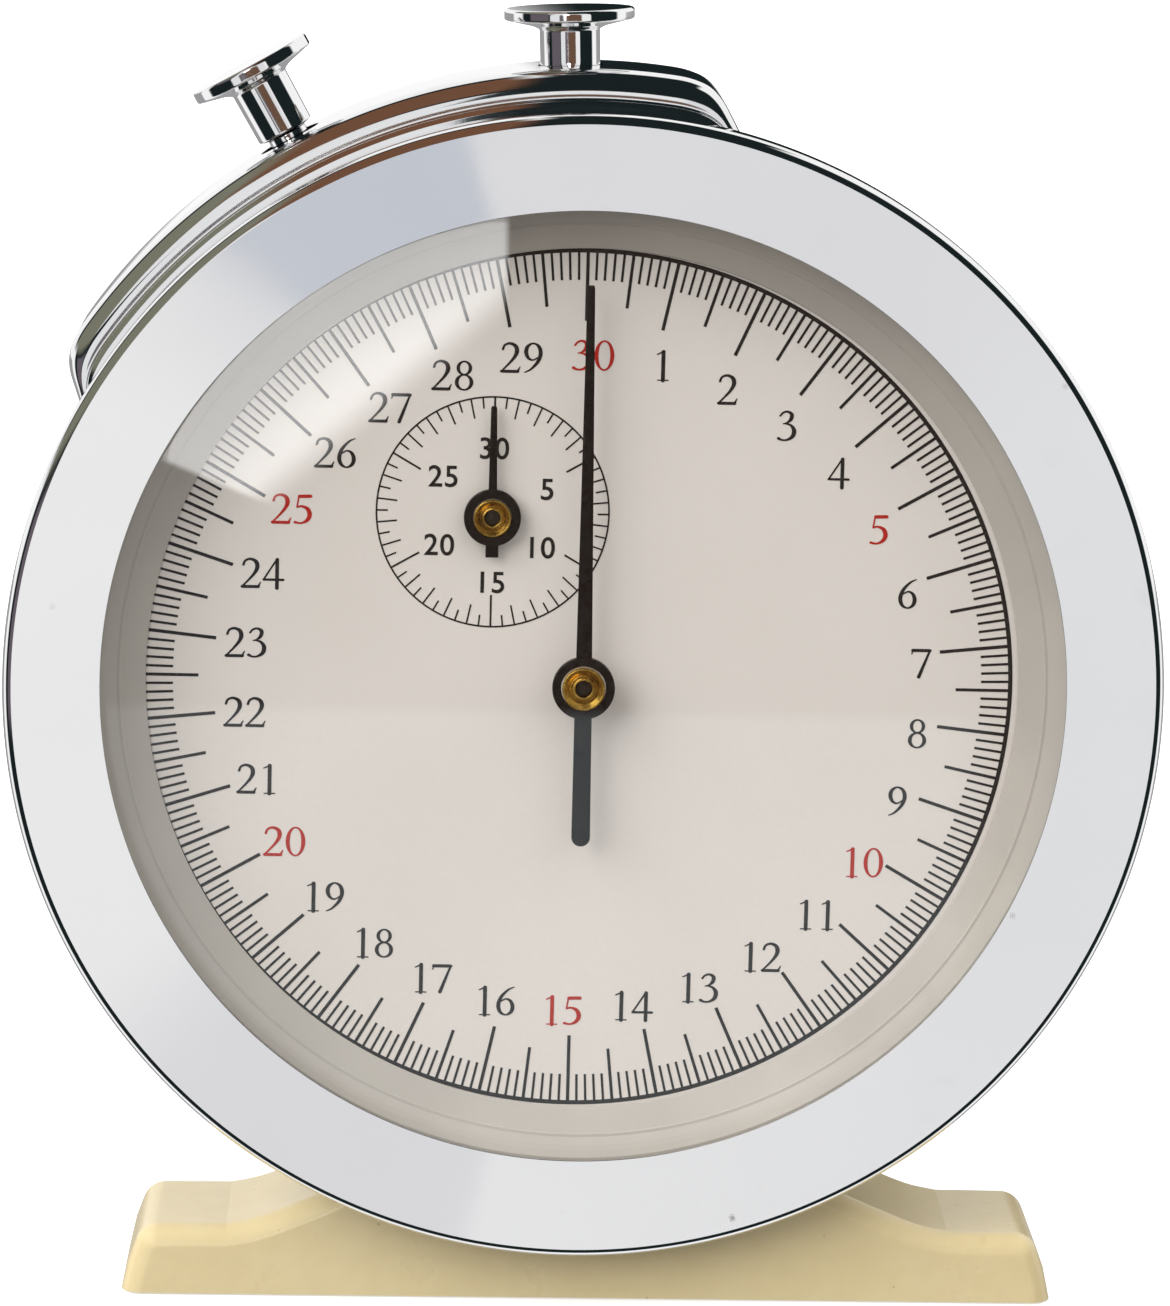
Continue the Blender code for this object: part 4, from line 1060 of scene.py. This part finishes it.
# ---- floor, light and camera
def make_stage():
    mesh = bpy.data.meshes.new("floor")
    bm = bmesh.new()
    bmesh.ops.create_grid(bm, x_segments=8, y_segments=8, size=4.0)
    bm.to_mesh(mesh)
    bm.free()
    floor = put_in_scene("floor", mesh)
    look = Look("pale floor", (0.9, 0.9, 0.9), Specular_IOR_Level=0.2)
    look.roughness(look.varied(0.6, 0.75, 6, 3))
    look.colour(look.mix(look.varied(0, 1, 3, 3), (0.89, 0.89, 0.89), (0.91, 0.91, 0.905)))
    look.shader.inputs["Emission Color"].default_value = (1, 1, 1, 1)
    look.shader.inputs["Emission Strength"].default_value = 0.5
    mesh.materials.append(look.material)
    floor.location.z = -0.0002
    floor.visible_glossy = floor.visible_diffuse = floor.visible_transmission = False


def make_world():
    """White to the camera, an even light for dull surfaces, and a painted room for polished ones to show.

    az is in degrees right of the front and el above the horizon. off is the distance from where the dial
    shows the viewer. Each line paints over the ones before it."""
    scene = bpy.context.scene
    scene.world = bpy.data.worlds.new("studio")
    scene.world.use_nodes = True
    sky = Nodes(scene.world.node_tree)
    sky.tree.nodes.clear()
    x, y, z = sky.node("SeparateXYZ", {0: sky.node("TexCoord").outputs["Generated"]}).outputs
    az = sky.math("DEGREES", sky.math("ARCTAN2", x, sky.math("MULTIPLY", y, -1.0)))
    el = sky.math("DEGREES", sky.math("ARCSINE", z))

    def inside(value, low, high, soft):
        return sky.math("MULTIPLY", sky.step(value, low, low + soft), sky.step(value, high, high - soft))

    def both(a, b):
        return sky.math("MULTIPLY", a, b)

    def either(a, b):
        return sky.math("MAXIMUM", a, b)

    side, dusk, white = (0.010, 0.016, 0.017), (0.35, 0.35, 0.36), (1.0, 1.0, 1.0)
    across, down = sky.math("SUBTRACT", az, 1.0), sky.math("ADD", el, 10.0)
    off = sky.math("SQRT", sky.math("ADD", sky.math("POWER", across, 2.0), sky.math("POWER", down, 2.0)))
    upper_left = both(sky.step(x, -0.06, -0.14), sky.step(z, 0.15, 0.3))
    ceiling = sky.mix(sky.step(x, -0.5, -0.64), (0.17, 0.08, 0.045), (0.2, 0.2, 0.15))
    colour = sky.mix(both(upper_left, inside(y, -0.77, 0.3, 0.05)), side, ceiling)
    colour = sky.mix(both(inside(az, -76, -36, 4.0), inside(el, -16, 10, 4.0)), colour, (0.13, 0.11, 0.13))
    # the pale room in front, which the bezel shows
    front = sky.mix(sky.step(az, -26, 26), (0.82, 0.825, 0.835), (0.91, 0.91, 0.91))
    front = sky.mix(sky.step(el, -22, -30), front, (0.785, 0.785, 0.80))
    front = sky.mix(both(inside(az, 5.6, 26.0, 1.0), sky.step(el, 0, 6)), front, (0.78, 0.78, 0.80))
    front = sky.mix(both(inside(az, 6.9, 17.6, 0.8), inside(el, -60, -22, 1.0)), front, (0.6, 0.627, 0.686))
    ring = both(inside(off, 19.5, 37.5, 1.5), either(sky.step(az, -5.5, -6.5), sky.step(el, 18.5, 17.0)))
    over = both(inside(az, -42, -6.5, 1.0), inside(el, 15.0, 36.0, 2.0))
    colour = sky.mix(either(ring, over), colour, front)
    viewer = sky.mix(sky.step(az, -9, -6), (0.16, 0.14, 0.15), (0.15, 0.085, 0.055))
    colour = sky.mix(sky.step(off, 21, 19), colour, viewer)
    glow = both(inside(az, -15, 15, 2.0), inside(el, -27.0, -11.2, 0.5))
    colour = sky.mix(glow, colour, (0.6, 0.62, 0.64))
    # the bright window, which the glass shows over the right of the dial
    sill = sky.math("SUBTRACT", el, sky.math("ADD", sky.math("MULTIPLY", az, 0.855), 2.5))
    jamb = sky.math("ADD", el, sky.math("MULTIPLY", az, 0.4))
    window = both(inside(az, -13.0, -0.9, 0.3), sky.step(el, 7.0, 6.0))
    window = both(window, both(sky.step(sill, -1.0, 0.9), sky.step(jamb, -8.55, -8.25)))
    window = both(window, sky.step(off, 18.0, 17.0))
    colour = sky.mix(window, colour, (4.9, 4.9, 4.9))
    # white behind, but for the dark that the shoulder and drum show
    dark_back = both(inside(x, -0.1, 0.42, 0.06), sky.step(z, -0.04, 0.04))
    pale_back = sky.math("SUBTRACT", 1.0, either(dark_back, upper_left))
    colour = sky.mix(both(sky.step(y, -0.02, 0.1), pale_back), colour, white)
    dark_rear = both(both(sky.step(x, -0.01, 0.02), sky.step(x, 0.42, 0.36)), sky.step(z, 0.26, 0.22))
    rear = sky.mix(sky.step(z, 0.0, -0.05), sky.mix(dark_rear, white, side), dusk)
    colour = sky.mix(sky.step(y, 0.42, 0.5), colour, rear)
    fill = sky.ranged(z, -0.3, 0.9, 0.34, 0.7)

    def light(value):
        return sky.node("Background", {0: (*value, 1) if isinstance(value, tuple) else value}).outputs[0]

    rays = sky.node("LightPath").outputs
    shown = sky.node("MixShader", {0: rays["Is Glossy Ray"], 1: light(fill), 2: light(colour)})
    shown = sky.node("MixShader", {0: rays["Is Camera Ray"], 1: shown.outputs[0], 2: light(white)})
    sky.node("OutputWorld", {0: shown.outputs[0]})
    scene.view_settings.view_transform = "Standard"
    scene.view_settings.look = "None"


def sun_light(name, azimuth, elevation, spread, strength):
    """Soft light from this many degrees right of the front and above the horizon."""
    data = bpy.data.lights.new(name, "SUN")
    data.energy, data.angle = strength, radians(spread)
    lamp = put_in_scene(name, data)
    a, e = radians(azimuth), radians(elevation)
    came = Vector((sin(a) * cos(e), -cos(a) * cos(e), sin(e)))
    lamp.rotation_euler = (-came).to_track_quat("-Z", "Y").to_euler()
    lamp.visible_glossy = False


FOCAL_LENGTH = 151.6


def make_camera():
    data = bpy.data.cameras.new("camera")
    data.lens, data.sensor_width = FOCAL_LENGTH, 36.0
    data.clip_start, data.clip_end = 0.01, 50
    camera = put_in_scene("camera", data)
    at, target, roll = Vector((-0.0148, -0.5424, 0.1634)), Vector((0.00041, 0.0, 0.06381)), radians(1.13)
    turn = (target - at).to_track_quat("-Z", "Y").to_matrix().to_4x4()
    camera.matrix_world = Matrix.Translation(at) @ turn @ Matrix.Rotation(roll, 4, "Z")
    bpy.context.scene.camera = camera


make_stage()
make_world()
sun_light("window_light", azimuth=-48, elevation=30, spread=50, strength=1.95)
sun_light("room_light", azimuth=65, elevation=50, spread=70, strength=1.05)
sun_light("side_light", azimuth=-80, elevation=45, spread=40, strength=0.85)
make_camera()
